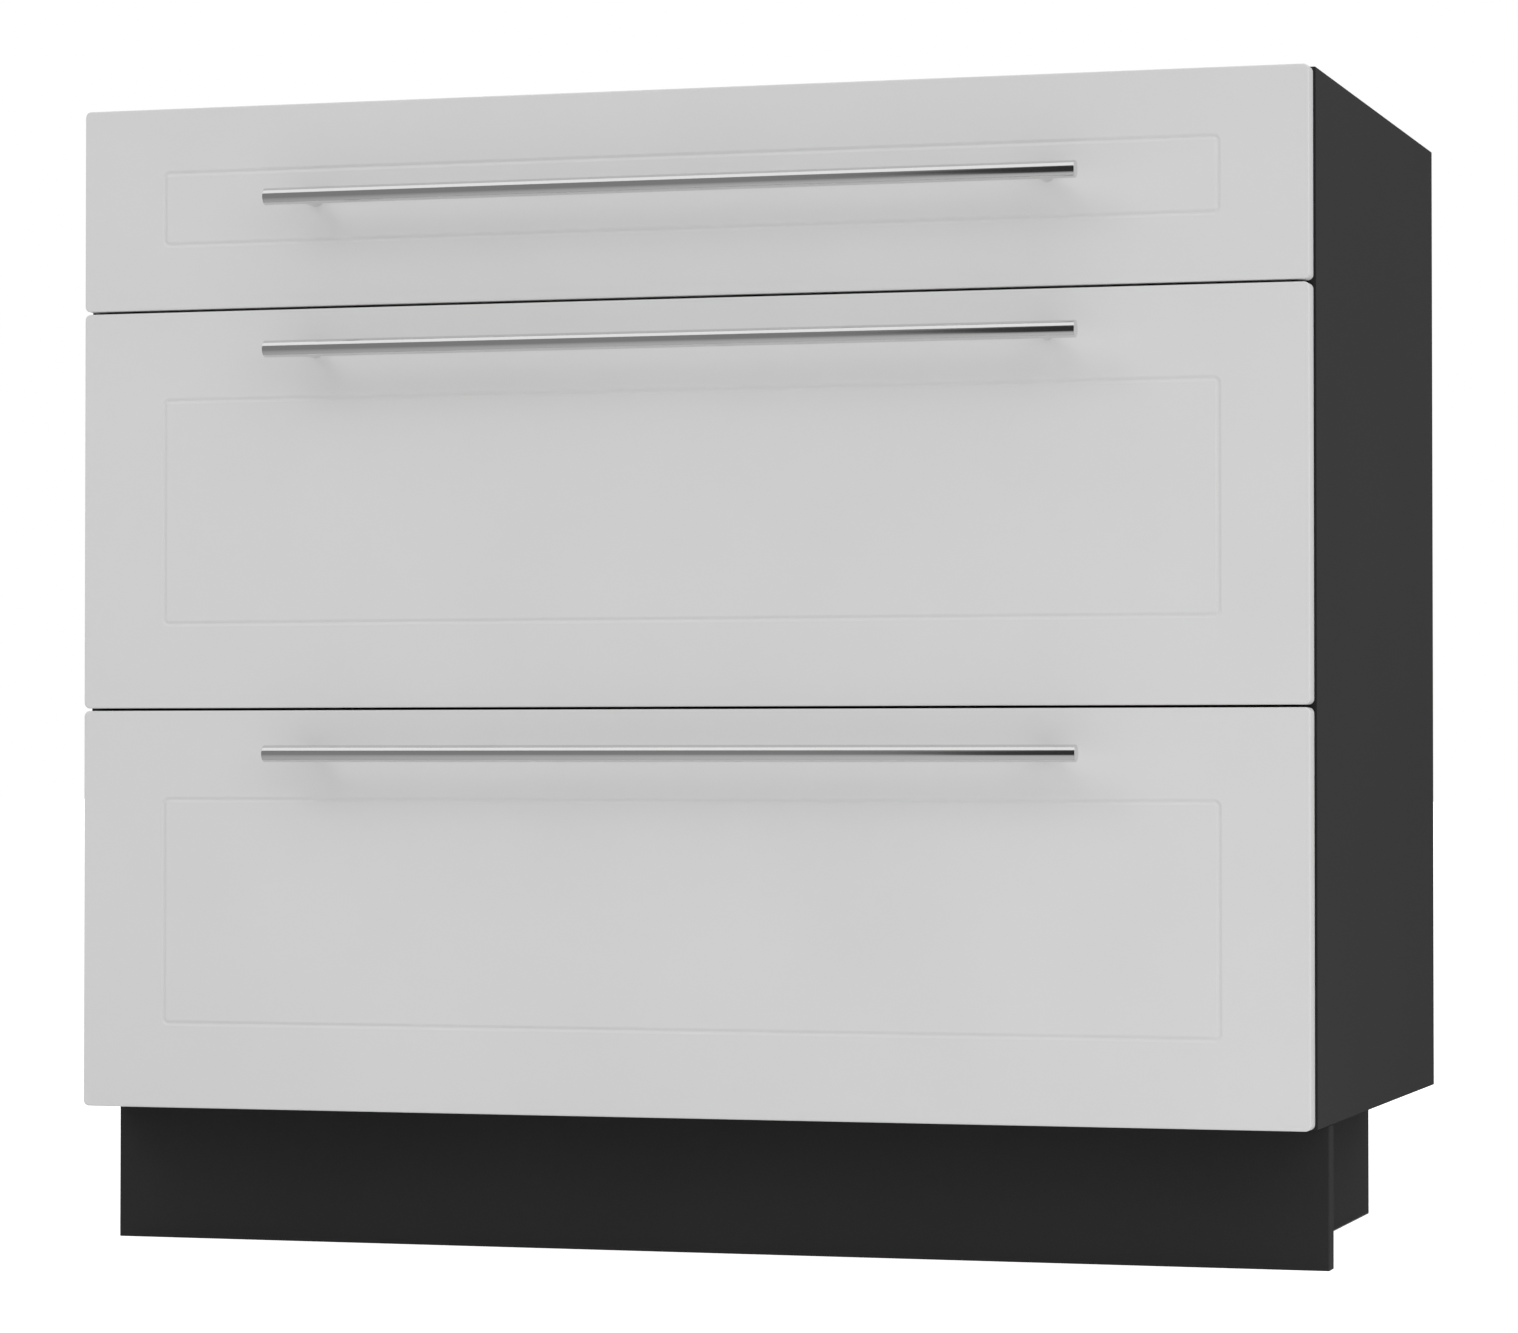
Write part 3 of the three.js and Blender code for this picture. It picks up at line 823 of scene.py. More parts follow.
def add_piece(
    name: str,
    shape: Surface,
    finish: Finish,
    body: str,
    replaces: Sequence[str] = (),
    sheet: float = 0.0,
) -> None:
    """Adds a shape as a piece of the cabinet.

    Args:
        name: The piece's name.
        shape: Its surface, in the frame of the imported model.
        finish: Its finish.
        body: The body that it rides on.
        replaces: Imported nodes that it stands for.
        sheet: Thickness, where the shape is the middle of a sheet.
    """
    made = bpy.data.objects.new(name, shape.mesh(name))
    bpy.context.scene.collection.objects.link(made)
    if sheet:
        wall = made.modifiers.new("wall", "SOLIDIFY")
        wall.thickness = sheet
        wall.offset = 0.0
    finish.dress(made)
    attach(made, body)
    if replaces:
        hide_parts(*replaces)
    LOG.info("%s: %d faces, %s, on %s", name, len(made.data.polygons), finish.name, body)


def dress_board(node: bpy.types.Object, finish: Finish, softening: float = 0.0005) -> None:
    """Gives a packed board its finish and softens its edges.

    Args:
        node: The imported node's object.
        finish: Its finish.
        softening: Width of the bevel on each edge.
    """
    weld = node.modifiers.new("weld", "WELD")
    weld.merge_threshold = WELD_DISTANCE
    bevel = node.modifiers.new("softened edges", "BEVEL")
    bevel.width = softening
    bevel.segments = 2
    bevel.limit_method = "ANGLE"
    bevel.angle_limit = SMOOTH_BELOW
    bevel.harden_normals = True
    finish.dress(node)
    LOG.info("%s: packed board, %s", node.name, finish.name)


@dataclass(frozen=True)
class DrawerFront:
    """A drawer front: a slab with a rounded front edge and a routed line.

    Attributes:
        drawer: Which drawer it closes.
        line_inset: From the front's top and bottom edges to the middle of the line.
        line_drop: How far the line's frame lies below the front's middle.
        line_side_inset: From the front's side edges to the middle of the line.
        line_width: Width of the line.
        line_depth: Its depth.
        line_radius: Corner radius of the line's frame.
        corner_radius: Corner radius of the front.
        edge_radius: How round its front edge is.
        back_radius: How round its back edge is.
        support: Width of the narrow flat strips beside each rounding.
        corner_steps: Steps in each corner.
        edge_steps: Steps in the front edge's rounding.
        back_steps: Steps in the back edge's rounding.
        line_steps: Steps across the line.
    """

    drawer: Drawer
    line_inset: float
    line_drop: float
    line_side_inset: float = 0.0625
    line_width: float = 0.0045
    line_depth: float = 0.0009
    line_radius: float = 0.0035
    corner_radius: float = 0.004
    edge_radius: float = 0.001
    back_radius: float = 0.0004
    support: float = 0.0004
    corner_steps: int = 10
    edge_steps: int = 8
    back_steps: int = 3
    line_steps: int = 14

    def edge(self, thickness: float) -> np.ndarray:
        """The slab's edge, from the back face round to the front face.

        Args:
            thickness: The slab's thickness.

        Returns:
            Rows of inset and depth.
        """
        back_centre = (self.back_radius, thickness - self.back_radius)
        back = arc(back_centre, self.back_radius, 90, 180, self.back_steps)
        front = arc((self.edge_radius, self.edge_radius), self.edge_radius, 180, 270, self.edge_steps)
        start = [[self.back_radius + self.support, thickness]]
        end = [[self.edge_radius + self.support, 0.0]]
        return np.concatenate([start, back, front, end])

    def line(self) -> np.ndarray:
        """Across the line: the depth times the squared cosine of pi times the share of the width.

        Returns:
            Rows of offset and depth.
        """
        offset = np.linspace(-0.5, 0.5, self.line_steps + 1)
        depth = self.line_depth * np.cos(np.pi * offset) ** 2
        reach = self.line_width / 2 + self.support
        rows = np.stack([offset * self.line_width, depth], axis=-1)
        return np.concatenate([[[-reach, 0.0]], rows, [[reach, 0.0]]])

    def surface(self, box: Box) -> Surface:
        """Nested rounded rectangles from the back face over the edge, across the line to the middle.

        Args:
            box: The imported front's box.

        Returns:
            The front's surface.
        """
        edge, line = self.edge(box.size[1]), self.line()
        half = np.array([box.size[0], box.size[2]]) / 2
        line_half = half - np.array([self.line_side_inset, self.line_inset])
        halves = np.concatenate([half - edge[:, :1], line_half - line[:, :1]])
        corner = np.maximum(self.corner_radius - edge[:, 0], self.support)
        radius = np.concatenate([corner, self.line_radius - line[:, 0]])
        depth = np.concatenate([edge[:, 1], line[:, 1]])[:, None]
        drop = np.concatenate([np.zeros(len(edge)), np.full(len(line), self.line_drop)])[:, None]
        outline = rounded_rectangles(halves, radius, self.corner_steps)
        x = box.middle[0] + outline[..., 0]
        z = box.middle[2] - drop + outline[..., 1]
        return Surface.through(np.stack([x, box.low[1] + depth + 0 * x, z], axis=-1))

    def build(self) -> None:
        """Adds the front to the scene."""
        node = f"{self.drawer.value}_drawer_front"
        add_piece(f"{node}_panel", self.surface(Box.of(node)), FRONT_FILM, self.drawer.body, [node])


@dataclass(frozen=True)
class BarHandle:
    """A long round bar on two posts.

    Attributes:
        drawer: Which drawer it opens.
        chamfer: Radius of the bar's rounded end edge, and how far the posts' feet are drawn in.
        chamfer_steps: Steps in that rounding.
        seat: How far the posts stay clear of the bar and of the front.
        sides: Sides of the bar and of the posts.
        post_rings: Rings of points along a post.
        foot_rings: How many of them the foot's rounding takes.
    """

    drawer: Drawer
    chamfer: float = 0.0006
    chamfer_steps: int = 4
    seat: float = 0.00002
    sides: int = 96
    post_rings: int = 12
    foot_rings: int = 2

    def bar(self, box: Box) -> Surface:
        """The bar, turned about x, with a rounded edge at each end.

        Args:
            box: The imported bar's box.

        Returns:
            The bar's surface.
        """
        length, radius, chamfer = box.size[0], box.size[2] / 2, self.chamfer
        inner, flat = radius - chamfer, radius - 2 * chamfer
        first = arc((inner, chamfer), chamfer, -90, 0, self.chamfer_steps)
        last = arc((inner, length - chamfer), chamfer, 0, 90, self.chamfer_steps)
        straight = [[radius, 2 * chamfer], [radius, length - 2 * chamfer]]
        profile = np.concatenate([[[flat, 0.0]], first, straight, last, [[flat, length]]])
        start = np.array([box.low[0], *box.middle[1:]])
        return Facing.RIGHT.turn(turned(profile, self.sides)).repeated(start[None])

    def post(self, box: Box, bar: Box, front_face: float) -> Surface:
        """A post that ends in a saddle on the bar.

        At angle a round the post, its surface runs from the front's face to the bar's surface, which lies
        sqrt(R^2 - (r sin a)^2) behind the bar's axis for a bar of radius R and a post of radius r.

        Args:
            box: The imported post's box.
            bar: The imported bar's box.
            front_face: Where the front's face lies along y.

        Returns:
            The post's surface.
        """
        radius, bar_radius = box.size[0] / 2, bar.size[2] / 2
        angle = np.linspace(0, 2 * np.pi, self.sides, endpoint=False)
        x, z = radius * np.cos(angle), radius * np.sin(angle)
        saddle = bar.middle[1] + np.sqrt(bar_radius**2 - z**2) + self.seat
        foot = front_face - self.seat
        share = np.linspace(0, 1, self.post_rings)[:, None]
        rows = (1 - share) * foot + share * saddle
        rounding = np.clip(1 - share * self.post_rings / self.foot_rings, 0, 1) ** 2
        shrink = 1 - self.chamfer / radius * rounding
        rings = np.stack([box.middle[0] + shrink * x, rows, box.middle[2] + shrink * z], axis=-1)
        return Surface.through(rings)

    def build(self) -> None:
        """Adds the bar and its posts."""
        name, body = self.drawer.value, self.drawer.body
        bar = Box.of(f"{name}_handle_bar")
        face = Box.of(f"{name}_drawer_front").low[1]
        add_piece(f"{name}_bar", self.bar(bar), HANDLE_STEEL, body, [f"{name}_handle_bar"])
        for side in Side:
            node = f"{name}_handle_post_{side.word}"
            shape = self.post(Box.of(node), bar, face)
            add_piece(f"{name}_post_{side.word}", shape, HANDLE_STEEL, body, [node])


@dataclass(frozen=True)
class ScrewHead:
    """A low round screw head with a cross recess.

    Attributes:
        radius: The head's radius.
        height: How high its middle would stand without the cross.
        recess: Half width, half length and depth of the cross.
        rings: Rings from the middle to the edge.
        sides: Points in each ring.
        eye: The first ring's share of the radius.
        fall: How far the edge lies below the middle, as a share of the height.
        wall: Where the cross's sloping walls end, in half widths of its arms; they are one half width wide.
        easing: How steeply its depth comes up from the half length.
        seat: How far the head reaches into what it sits on.
    """

    radius: float = 0.0041
    height: float = 0.0021
    recess: Triple = (0.00055, 0.0022, 0.0013)
    rings: int = 14
    sides: int = 48
    eye: float = 0.02
    fall: float = 0.45
    wall: float = 1.5
    easing: float = 3.0
    seat: float = 0.0002

    def surface(self) -> Surface:
        """The head on z = 0, facing +z.

        The height falls with the square of the radius, less the cross. The cross has its full depth along its
        arms' middles, comes up over one half width to the wall's end by the smaller of |x| and |y|, and is
        eased to 0 towards the half length.

        Returns:
            The head's surface.
        """
        angle = np.linspace(0, 2 * np.pi, self.sides, endpoint=False)
        radius = np.linspace(self.eye, 1, self.rings)[:, None] * self.radius
        x, y = radius * np.cos(angle), radius * np.sin(angle)
        half_width, half_length, depth = self.recess
        arm = np.clip(self.wall - np.minimum(abs(x), abs(y)) / half_width, 0, 1)
        reach = np.clip(self.easing * (1 - radius / half_length), 0, 1)
        top = self.height * (1 - self.fall * (radius / self.radius) ** 2) - depth * arm * reach
        dome = np.stack([x, y, top], axis=-1)
        foot = dome[-1:].copy()
        foot[..., 2] = -self.seat
        return Surface.through(np.concatenate([dome, foot]))


@dataclass(frozen=True)
class DrawerHardware:
    """The small hardware that rides on one drawer.

    Attributes:
        drawer: Which drawer.
        handle_screw: Head of the screws that hold the handle's posts.
        box_screw: Head of the other screws.
        bumper_radius: Radius of the pads that meet the carcass.
        bumper_height: Their height.
        bumper_steps: Steps in their rounded edge.
        bumper_sides: Their sides.
        bumper_inset: From the front's upper and lower edges to their middles.
        fixings: How many screws that hold the front there are in a row.
        fixing_inset: From the box's side to the outermost of them.
        fixing_rise: From the box's bottom, or from its upper edge, to their rows.
        corner_rise: From a box side's edges to its corner screws.
    """

    drawer: Drawer
    handle_screw: ScrewHead = ScrewHead()
    box_screw: ScrewHead = ScrewHead(radius=0.0036, height=0.0012)
    bumper_radius: float = 0.004
    bumper_height: float = 0.0009
    bumper_steps: int = 4
    bumper_sides: int = 32
    bumper_inset: float = 0.016
    fixings: int = 4
    fixing_inset: float = 0.11
    fixing_rise: float = 0.022
    corner_rise: float = 0.016

    def box(self, part: str) -> Box:
        """The box of one of the drawer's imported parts."""
        return Box.of(f"{self.drawer.value}_{part}")

    def handle_screws(self) -> Surface:
        """Screws behind each post, on the box's front board, or on the front where the box is lower.

        Returns:
            The screw heads.
        """
        posts = [self.box(f"handle_post_{side.word}").middle for side in Side]
        board, front = self.box("box_front"), self.box("drawer_front")
        behind = board.high[1] if posts[0][2] < board.high[2] else front.high[1]
        places = np.array([[post[0], behind, post[2]] for post in posts])
        return Facing.BACK.turn(self.handle_screw.surface()).repeated(places)

    def front_screws(self) -> Surface:
        """Two rows of screws through the box's front board into the drawer front.

        Returns:
            The screw heads.
        """
        board, low = self.box("box_front"), self.box("box_bottom").high[2]
        across = (board.size[0] / 2 - self.fixing_inset) * np.linspace(-1, 1, self.fixings)
        heights = [low + self.fixing_rise, board.high[2] - self.fixing_rise]
        places = crossings(across, board.high[1], heights)
        return Facing.BACK.turn(self.box_screw.surface()).repeated(places)

    def corner_screws(self, side: Side) -> Surface:
        """Screws through a box side into the ends of the front and back boards.

        Args:
            side: Which side.

        Returns:
            The screw heads.
        """
        board = self.box(f"box_{side.word}")
        ends = [self.box(f"box_{end}").middle[1] for end in ("front", "back")]
        heights = [board.low[2] + self.corner_rise, board.high[2] - self.corner_rise]
        head = Facing[side.name].turn(self.box_screw.surface())
        return head.repeated(crossings(side.outer(board), ends, heights))

    def bumpers(self) -> Surface:
        """Pads on the front's back, one near each corner, where the carcass's edges meet them.

        Returns:
            The pads.
        """
        front, across = self.box("drawer_front"), Box.of("right_side_panel").middle[0]
        radius, rounding = self.bumper_radius, self.bumper_height / 2
        edge = arc((radius - rounding, rounding), rounding, 0, 90, self.bumper_steps)
        pad = turned(np.concatenate([[[radius, 0.0]], edge]), self.bumper_sides)
        heights = [front.low[2] + self.bumper_inset, front.high[2] - self.bumper_inset]
        return Facing.BACK.turn(pad).repeated(crossings([-across, across], front.high[1], heights))

    def build(self) -> None:
        """Adds the drawer's screws and pads."""
        name, body = self.drawer.value, self.drawer.body
        add_piece(f"{name}_handle_screws", self.handle_screws(), SCREW_ZINC, body)
        add_piece(f"{name}_front_screws", self.front_screws(), SCREW_ZINC, body)
        for side in Side:
            add_piece(f"{name}_corner_screws_{side.word}", self.corner_screws(side), SCREW_ZINC, body)
        add_piece(f"{name}_bumpers", self.bumpers(), SOFT_GREY_PLASTIC, body)


@dataclass(frozen=True)
class RunnerSizes:
    """Lengths of a runner that follow from its packed members, half heights along v and places along u.

    Attributes:
        half: Half height of the cabinet member.
        outside: Half height of the intermediate member, inside the outer balls.
        inside: Half height of the drawer member, inside the inner balls.
        reach: Where the cabinet member's flanges end.
        web: Where the intermediate member's web starts.
        end: Where its flanges end.
        drawer_start: Where the drawer member's flanges start.
        depth: Where the runner ends, at the drawer's side.
    """

    half: float
    outside: float
    inside: float
    reach: float
    web: float
    end: float
    drawer_start: float
    depth: float


@dataclass(frozen=True)
class BallRows:
    """A pair of ball rows in one cage, above and below the runner's middle.

    Attributes:
        u: Where the balls lie along u.
        v: Their height above or depth below the middle.
        web: Where the cage's web lies along u.
        start: Where the rows start along y.
    """

    u: float
    v: float
    web: float
    start: float


@dataclass(frozen=True)
class ReleaseLever:
    """The lever that frees a drawer from its runner: rounded sections carried along it.

    At share t of the length, the half height is its first number plus its second times sin(pi t) to the power
    of the bow, and the half thickness is its first number plus its second times sin(pi t).

    Attributes:
        length: The lever's length.
        half_height: Half height at the ends, and what the middle adds to it.
        bow: The power of the sine in the half height.
        half_thickness: Half thickness at the ends, and what the middle adds to it.
        corner: Corner radius of the sections.
        corner_steps: Steps in each corner.
        sections: How many sections there are.
        seat: How far the lever stays clear of the member's web.
    """

    length: float = 0.042
    half_height: Span = (0.0032, 0.0042)
    bow: float = 0.6
    half_thickness: Span = (0.0012, 0.0012)
    corner: float = 0.0009
    corner_steps: int = 4
    sections: int = 25
    seat: float = 0.0002

    def surface(self, web: float, middle: float) -> Surface:
        """The lever's surface, as points (u, y, v).

        Args:
            web: Where the face of the member's web lies along u.
            middle: Where the lever's middle lies along y.

        Returns:
            The surface.
        """
        share = np.linspace(0, 1, self.sections)
        sine = np.sin(np.pi * share)
        tall = self.half_height[0] + self.half_height[1] * sine**self.bow
        thick = self.half_thickness[0] + self.half_thickness[1] * sine
        corners = np.full(len(share), self.corner)
        outline = rounded_rectangles(np.stack([thick, tall], axis=-1), corners, self.corner_steps)
        u = web - self.seat - thick[:, None] + outline[..., 0]
        y = middle + (share[:, None] - 0.5) * self.length
        return Surface.through(np.stack([u, y + 0 * u, outline[..., 1]], axis=-1))


@dataclass(frozen=True)
class Runner:
    """One telescopic runner, from the cabinet's side to the drawer's.

    Across it, u is counted from the cabinet member's outer face towards the drawer, and v up from its middle.

    Attributes:
        drawer: Which drawer it carries.
        side: On which side.
        sheet: Thickness of the members' steel.
        bend: Radius of its bends.
        lip: How far the cabinet member's edges are turned in.
        slot: Half width and half length of the cabinet member's holes.
        gap: Across the runner, between one member's web and the next member.
        ball: Diameter of the balls.
        play: Between the ball rows and their members, in total.
        cage_sheet: Thickness of the ball cages.
        row_length: Length of the ball rows.
        row_end: From the intermediate member's ends to the rows.
        balls_in_row: How many balls each row has.
        ball_sides: Sides of a ball.
        ball_rings: Rings of points on it.
        ball_cap: Degrees from its middle to the last ring.
        hole_inset: From a member's ends to its outer screws.
        screw: Head of the drawer member's screws.
        lever: The release lever.
    """

    drawer: Drawer
    side: Side
    sheet: float = 0.0012
    bend: float = 0.0013
    lip: float = 0.0032
    slot: Span = (0.0023, 0.0034)
    gap: float = 0.001
    ball: float = 0.004
    play: float = 0.0003
    cage_sheet: float = 0.0004
    row_length: float = 0.16
    row_end: float = 0.02
    balls_in_row: int = 14
    ball_sides: int = 10
    ball_rings: int = 7
    ball_cap: float = 84.0
    hole_inset: float = 0.037
    screw: ScrewHead = ScrewHead(radius=0.0036, height=0.0008)
    lever: ReleaseLever = ReleaseLever()

    def node(self, member: Member) -> str:
        """The name of one of the runner's packed members."""
        return f"{self.drawer.value}_runner_{member.value}_{self.side.word}"

    def box(self, member: Member) -> Box:
        """The box of one of the runner's packed members."""
        return Box.of(self.node(member))

    def placed(self, shape: Surface) -> Surface:
        """A shape given as (u, y, v), put in its place in the cabinet.

        Args:
            shape: The shape.

        Returns:
            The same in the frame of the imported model.
        """
        cabinet = self.box(Member.CABINET)
        u, y, v = shape.points.T
        x = self.side.outer(cabinet) - self.side.value * u
        return Surface(np.stack([x, y, cabinet.middle[2] + v], axis=-1), shape.faces)

    def ends(self, member: Member) -> Span:
        """Where a member starts and ends along y."""
        box = self.box(member)
        return (box.low[1], box.high[1])

    def holes(self, member: Member) -> tuple[float, ...]:
        """Places of a member's three screw holes along y."""
        start, end = self.ends(member)
        return (start + self.hole_inset, (start + end) / 2, end - self.hole_inset)

    def sizes(self) -> RunnerSizes:
        """The members' half heights and reaches, each worked out from the one outside it.

        Returns:
            The sizes.
        """
        cabinet, drawer = self.box(Member.CABINET), self.box(Member.DRAWER)
        depth = max(cabinet.high[0], drawer.high[0]) - min(cabinet.low[0], drawer.low[0])
        half = cabinet.size[2] / 2
        step = self.sheet + self.ball + self.play
        return RunnerSizes(
            half=half,
            outside=half - step,
            inside=half - 2 * step,
            reach=cabinet.size[0],
            web=self.sheet + self.gap,
            end=depth - self.sheet - self.gap,
            drawer_start=depth - drawer.size[0],
            depth=depth,
        )

    @staticmethod
    def channel(web: float, end: float, half: float) -> tuple[Span, ...]:
        """A channel's corners [u, v], by its web's u, its flanges' ends and its half height."""
        return ((end, half), (web, half), (web, -half), (end, -half))

    def members(self) -> dict[Member, BentSheet]:
        """The three members' sheets, drawn at the middle of the steel.

        Returns:
            The cabinet member, with its edges turned in and slotted holes, the intermediate member between
            the two pairs of ball rows, and the drawer member.
        """
        size, t = self.sizes(), self.sheet / 2
        half, lip, end = size.half - t, size.half - self.lip, size.reach - t
        turned_in = ((end, lip), *self.channel(t, end, half), (end, -lip))
        between = self.channel(size.web + t, size.end, size.outside - t)
        inner = self.channel(size.depth - t, size.drawer_start, size.inside - t)
        outer_ends, inner_ends = self.ends(Member.CABINET), self.ends(Member.DRAWER)
        outer_holes, inner_holes = self.holes(Member.CABINET), self.holes(Member.DRAWER)
        return {
            Member.CABINET: BentSheet(turned_in, self.bend, self.sheet, outer_ends, outer_holes, self.slot),
            Member.INTERMEDIATE: BentSheet(between, self.bend, self.sheet, self.ends(Member.INTERMEDIATE)),
            Member.DRAWER: BentSheet(inner, self.bend, self.sheet, inner_ends, inner_holes),
        }

    def rows(self) -> dict[str, BallRows]:
        """The outer and the inner pair of ball rows, at the two ends of the intermediate member.

        Returns:
            The rows, by the word in their cage's name.
        """
        size, (start, end) = self.sizes(), self.ends(Member.INTERMEDIATE)
        half_row = (self.ball + self.play) / 2
        outer_web = (self.sheet + size.web) / 2
        inner_web = (size.web + self.sheet + size.drawer_start) / 2
        outer_start = end - self.row_end - self.row_length
        inner_u = (size.drawer_start + size.end) / 2
        return {
            "outer": BallRows(size.reach / 2, size.outside + half_row, outer_web, outer_start),
            "inner": BallRows(inner_u, size.inside + half_row, inner_web, start + self.row_end),
        }

    def balls(self) -> Surface:
        """Balls at equal steps along each row, above and below the middle.

        Returns:
            The balls, as points (u, y, v).
        """
        angles = np.radians(np.linspace(-self.ball_cap, self.ball_cap, self.ball_rings))
        profile = np.stack([np.cos(angles), np.sin(angles)], axis=-1) * self.ball / 2
        steps = (np.arange(self.balls_in_row) + 0.5) * self.row_length / self.balls_in_row
        places = [crossings(pair.u, pair.start + steps, [-pair.v, pair.v]) for pair in self.rows().values()]
        return turned(profile, self.ball_sides).repeated(np.concatenate(places))

    def cage(self, pair: BallRows) -> BentSheet:
        """The thin cage that spaces a pair of rows: a channel through its balls."""
        corners = self.channel(pair.web, 2 * pair.u - pair.web, pair.v)
        return BentSheet(corners, self.bend, self.cage_sheet, (pair.start, pair.start + self.row_length))

    def build(self) -> None:
        """Adds the runner's members, cages, balls, lever and screws."""
        side, drawer, slider = self.side.word, self.drawer.body, self.drawer.runner_body
        stem = f"{self.drawer.value}_runner"
        bodies = {Member.CABINET: CARCASS, Member.INTERMEDIATE: slider, Member.DRAWER: drawer}
        for member, sheet in self.members().items():
            node, shape = self.node(member), self.placed(sheet.surface())
            add_piece(f"{node}_sheet", shape, RUNNER_ZINC, bodies[member], [node], sheet.thickness)
        for word, pair in self.rows().items():
            shape = self.placed(self.cage(pair).surface())
            add_piece(f"{stem}_cage_{word}_{side}", shape, RUNNER_ZINC, slider, sheet=self.cage_sheet)
        add_piece(f"{stem}_balls_{side}", self.placed(self.balls()), BALL_STEEL, slider)
        web = self.sizes().depth - self.sheet
        lever = self.lever.surface(web, self.box(Member.DRAWER).middle[1])
        add_piece(f"{stem}_lever_{side}", self.placed(lever), BLACK_PLASTIC, drawer)
        head = Facing.LEFT.turn(self.screw.surface())  # down u, so away from the drawer
        heads = head.repeated(crossings(web, self.holes(Member.DRAWER), 0.0))
        add_piece(f"{stem}_drawer_screws_{side}", self.placed(heads), SCREW_ZINC, drawer)


@dataclass(frozen=True)
class CamFasteners:
    """Cam discs in the boards that meet the side panels.

    Attributes:
        disc: A disc, made as a wide, low screw head.
        inset: From a board's ends to the discs.
        panel_inset: From the bottom panel's front and back edges to the discs.
        rail_inset: The same in the top rails.
    """

    disc: ScrewHead = ScrewHead(radius=0.0075, height=0.0004, recess=(0.0009, 0.0048, 0.0009), rings=18)
    inset: float = 0.034
    panel_inset: float = 0.05
    rail_inset: float = 0.03

    def build(self) -> None:
        """Adds the discs under the bottom panel and on the two top rails."""
        spots = {
            "bottom_panel": (Facing.DOWN, self.panel_inset),
            "top_front_rail": (Facing.UP, self.rail_inset),
            "top_back_rail": (Facing.UP, self.rail_inset),
        }
        for node, (facing, edge_inset) in spots.items():
            box = Box.of(node)
            height = box.high[2] if facing is Facing.UP else box.low[2]
            across = [box.low[0] + self.inset, box.high[0] - self.inset]
            along = [box.low[1] + edge_inset, box.high[1] - edge_inset]
            shape = facing.turn(self.disc.surface()).repeated(crossings(across, along, height))
            add_piece(f"{node}_cams", shape, CAM_ZINC, CARCASS)


@dataclass(frozen=True)
class Boards:
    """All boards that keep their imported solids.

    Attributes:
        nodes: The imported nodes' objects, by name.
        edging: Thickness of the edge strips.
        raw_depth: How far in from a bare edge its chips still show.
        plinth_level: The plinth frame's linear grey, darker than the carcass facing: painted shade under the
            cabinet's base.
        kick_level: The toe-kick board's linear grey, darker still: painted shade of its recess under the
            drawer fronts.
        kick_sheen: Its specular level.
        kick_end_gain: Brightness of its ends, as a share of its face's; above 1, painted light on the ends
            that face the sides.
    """

    nodes: dict[str, bpy.types.Object]
    edging: float = 0.001
    raw_depth: float = 0.0001
    plinth_level: float = 0.0265
    kick_level: float = 0.0252
    kick_sheen: float = 0.08
    kick_end_gain: float = 1.35

    def carcass(self) -> None:
        """Dresses the carcass and plinth boards, with edging in front, darkened as painted shade, and bare
        chips at the sides' rear.
        """
        side, kick = Box.of("right_side_panel"), Box.of("toe_kick_board")
        front = (Edge(ALONG, side.low[1] + self.edging, -1),)
        rear = Edge(ALONG, side.high[1] - self.raw_depth, 1)
        right_end = Edge(ACROSS, kick.high[0] - self.edging, 1)
        left_end = Edge(ACROSS, kick.low[0] + self.edging, -1)
        slot = "carcass_board"
        # The side and inner boards' front edge strips keep the facing's default gain of one half: painted
        # shade of the strip that lies behind the drawer fronts.
        side_facing = FacedBoard("charcoal_side_facing", slot, edging=front, raw=rear)
        inner_facing = FacedBoard("charcoal_facing", slot, edging=front)
        # The plinth frame's lower grey is painted shade under the cabinet's base.
        plinth_facing = FacedBoard("charcoal_plinth_facing", slot, level=self.plinth_level)
        # The toe-kick's lower grey is painted shade of its recess under the drawer fronts.
        kick_facing = FacedBoard(
            "charcoal_kick_facing",
            slot,
            level=self.kick_level,
            sheen=self.kick_sheen,
            edging=(right_end, left_end),
            # Its ends are lighter than its face: painted light from the sides.
            edging_gain=self.kick_end_gain,
        )
        facings = {
            side_facing: ("left_side_panel", "right_side_panel"),
            inner_facing: ("bottom_panel", "top_front_rail", "top_back_rail", "back_panel"),
            plinth_facing: ("plinth_left_side", "plinth_right_side", "plinth_front_rail", "plinth_back_rail"),
            kick_facing: ("toe_kick_board",),
        }
        for facing, names in facings.items():
            for name in names:
                dress_board(self.nodes[name], facing)

    def drawer_box(self, drawer: Drawer) -> None:
        """Dresses a drawer's box.

        Args:
            drawer: Which drawer.
        """
        for part in ("front", "back", "left", "right", "bottom"):
            finish = BOX_BOTTOM_FACING if part == "bottom" else BOX_FACING
            dress_board(self.nodes[f"{drawer.value}_box_{part}"], finish)


# ---- Studio ----


def stage_part(
    name: str,
    corners: Sequence[Triple],
    faces: Sequence[tuple[int, ...]],
    material: str,
    shine: Callable[[NodeBook], Socket],
) -> bpy.types.Object:
    """Adds an object of the stage.

    Args:
        name: Its name.
        corners: Its corners.
        faces: Its faces, by the corners' numbers.
        material: Its material's name.
        shine: Makes the material's shader in its node tree.

    Returns:
        The object.
    """
    mesh = bpy.data.meshes.new(name)
    mesh.from_pydata(corners, [], faces)
    made = bpy.data.materials.new(material)
    book = NodeBook.opened(made)
    book.show(shine(book))
    mesh.materials.append(made)
    part = bpy.data.objects.new(name, mesh)
    bpy.context.scene.collection.objects.link(part)
    return part


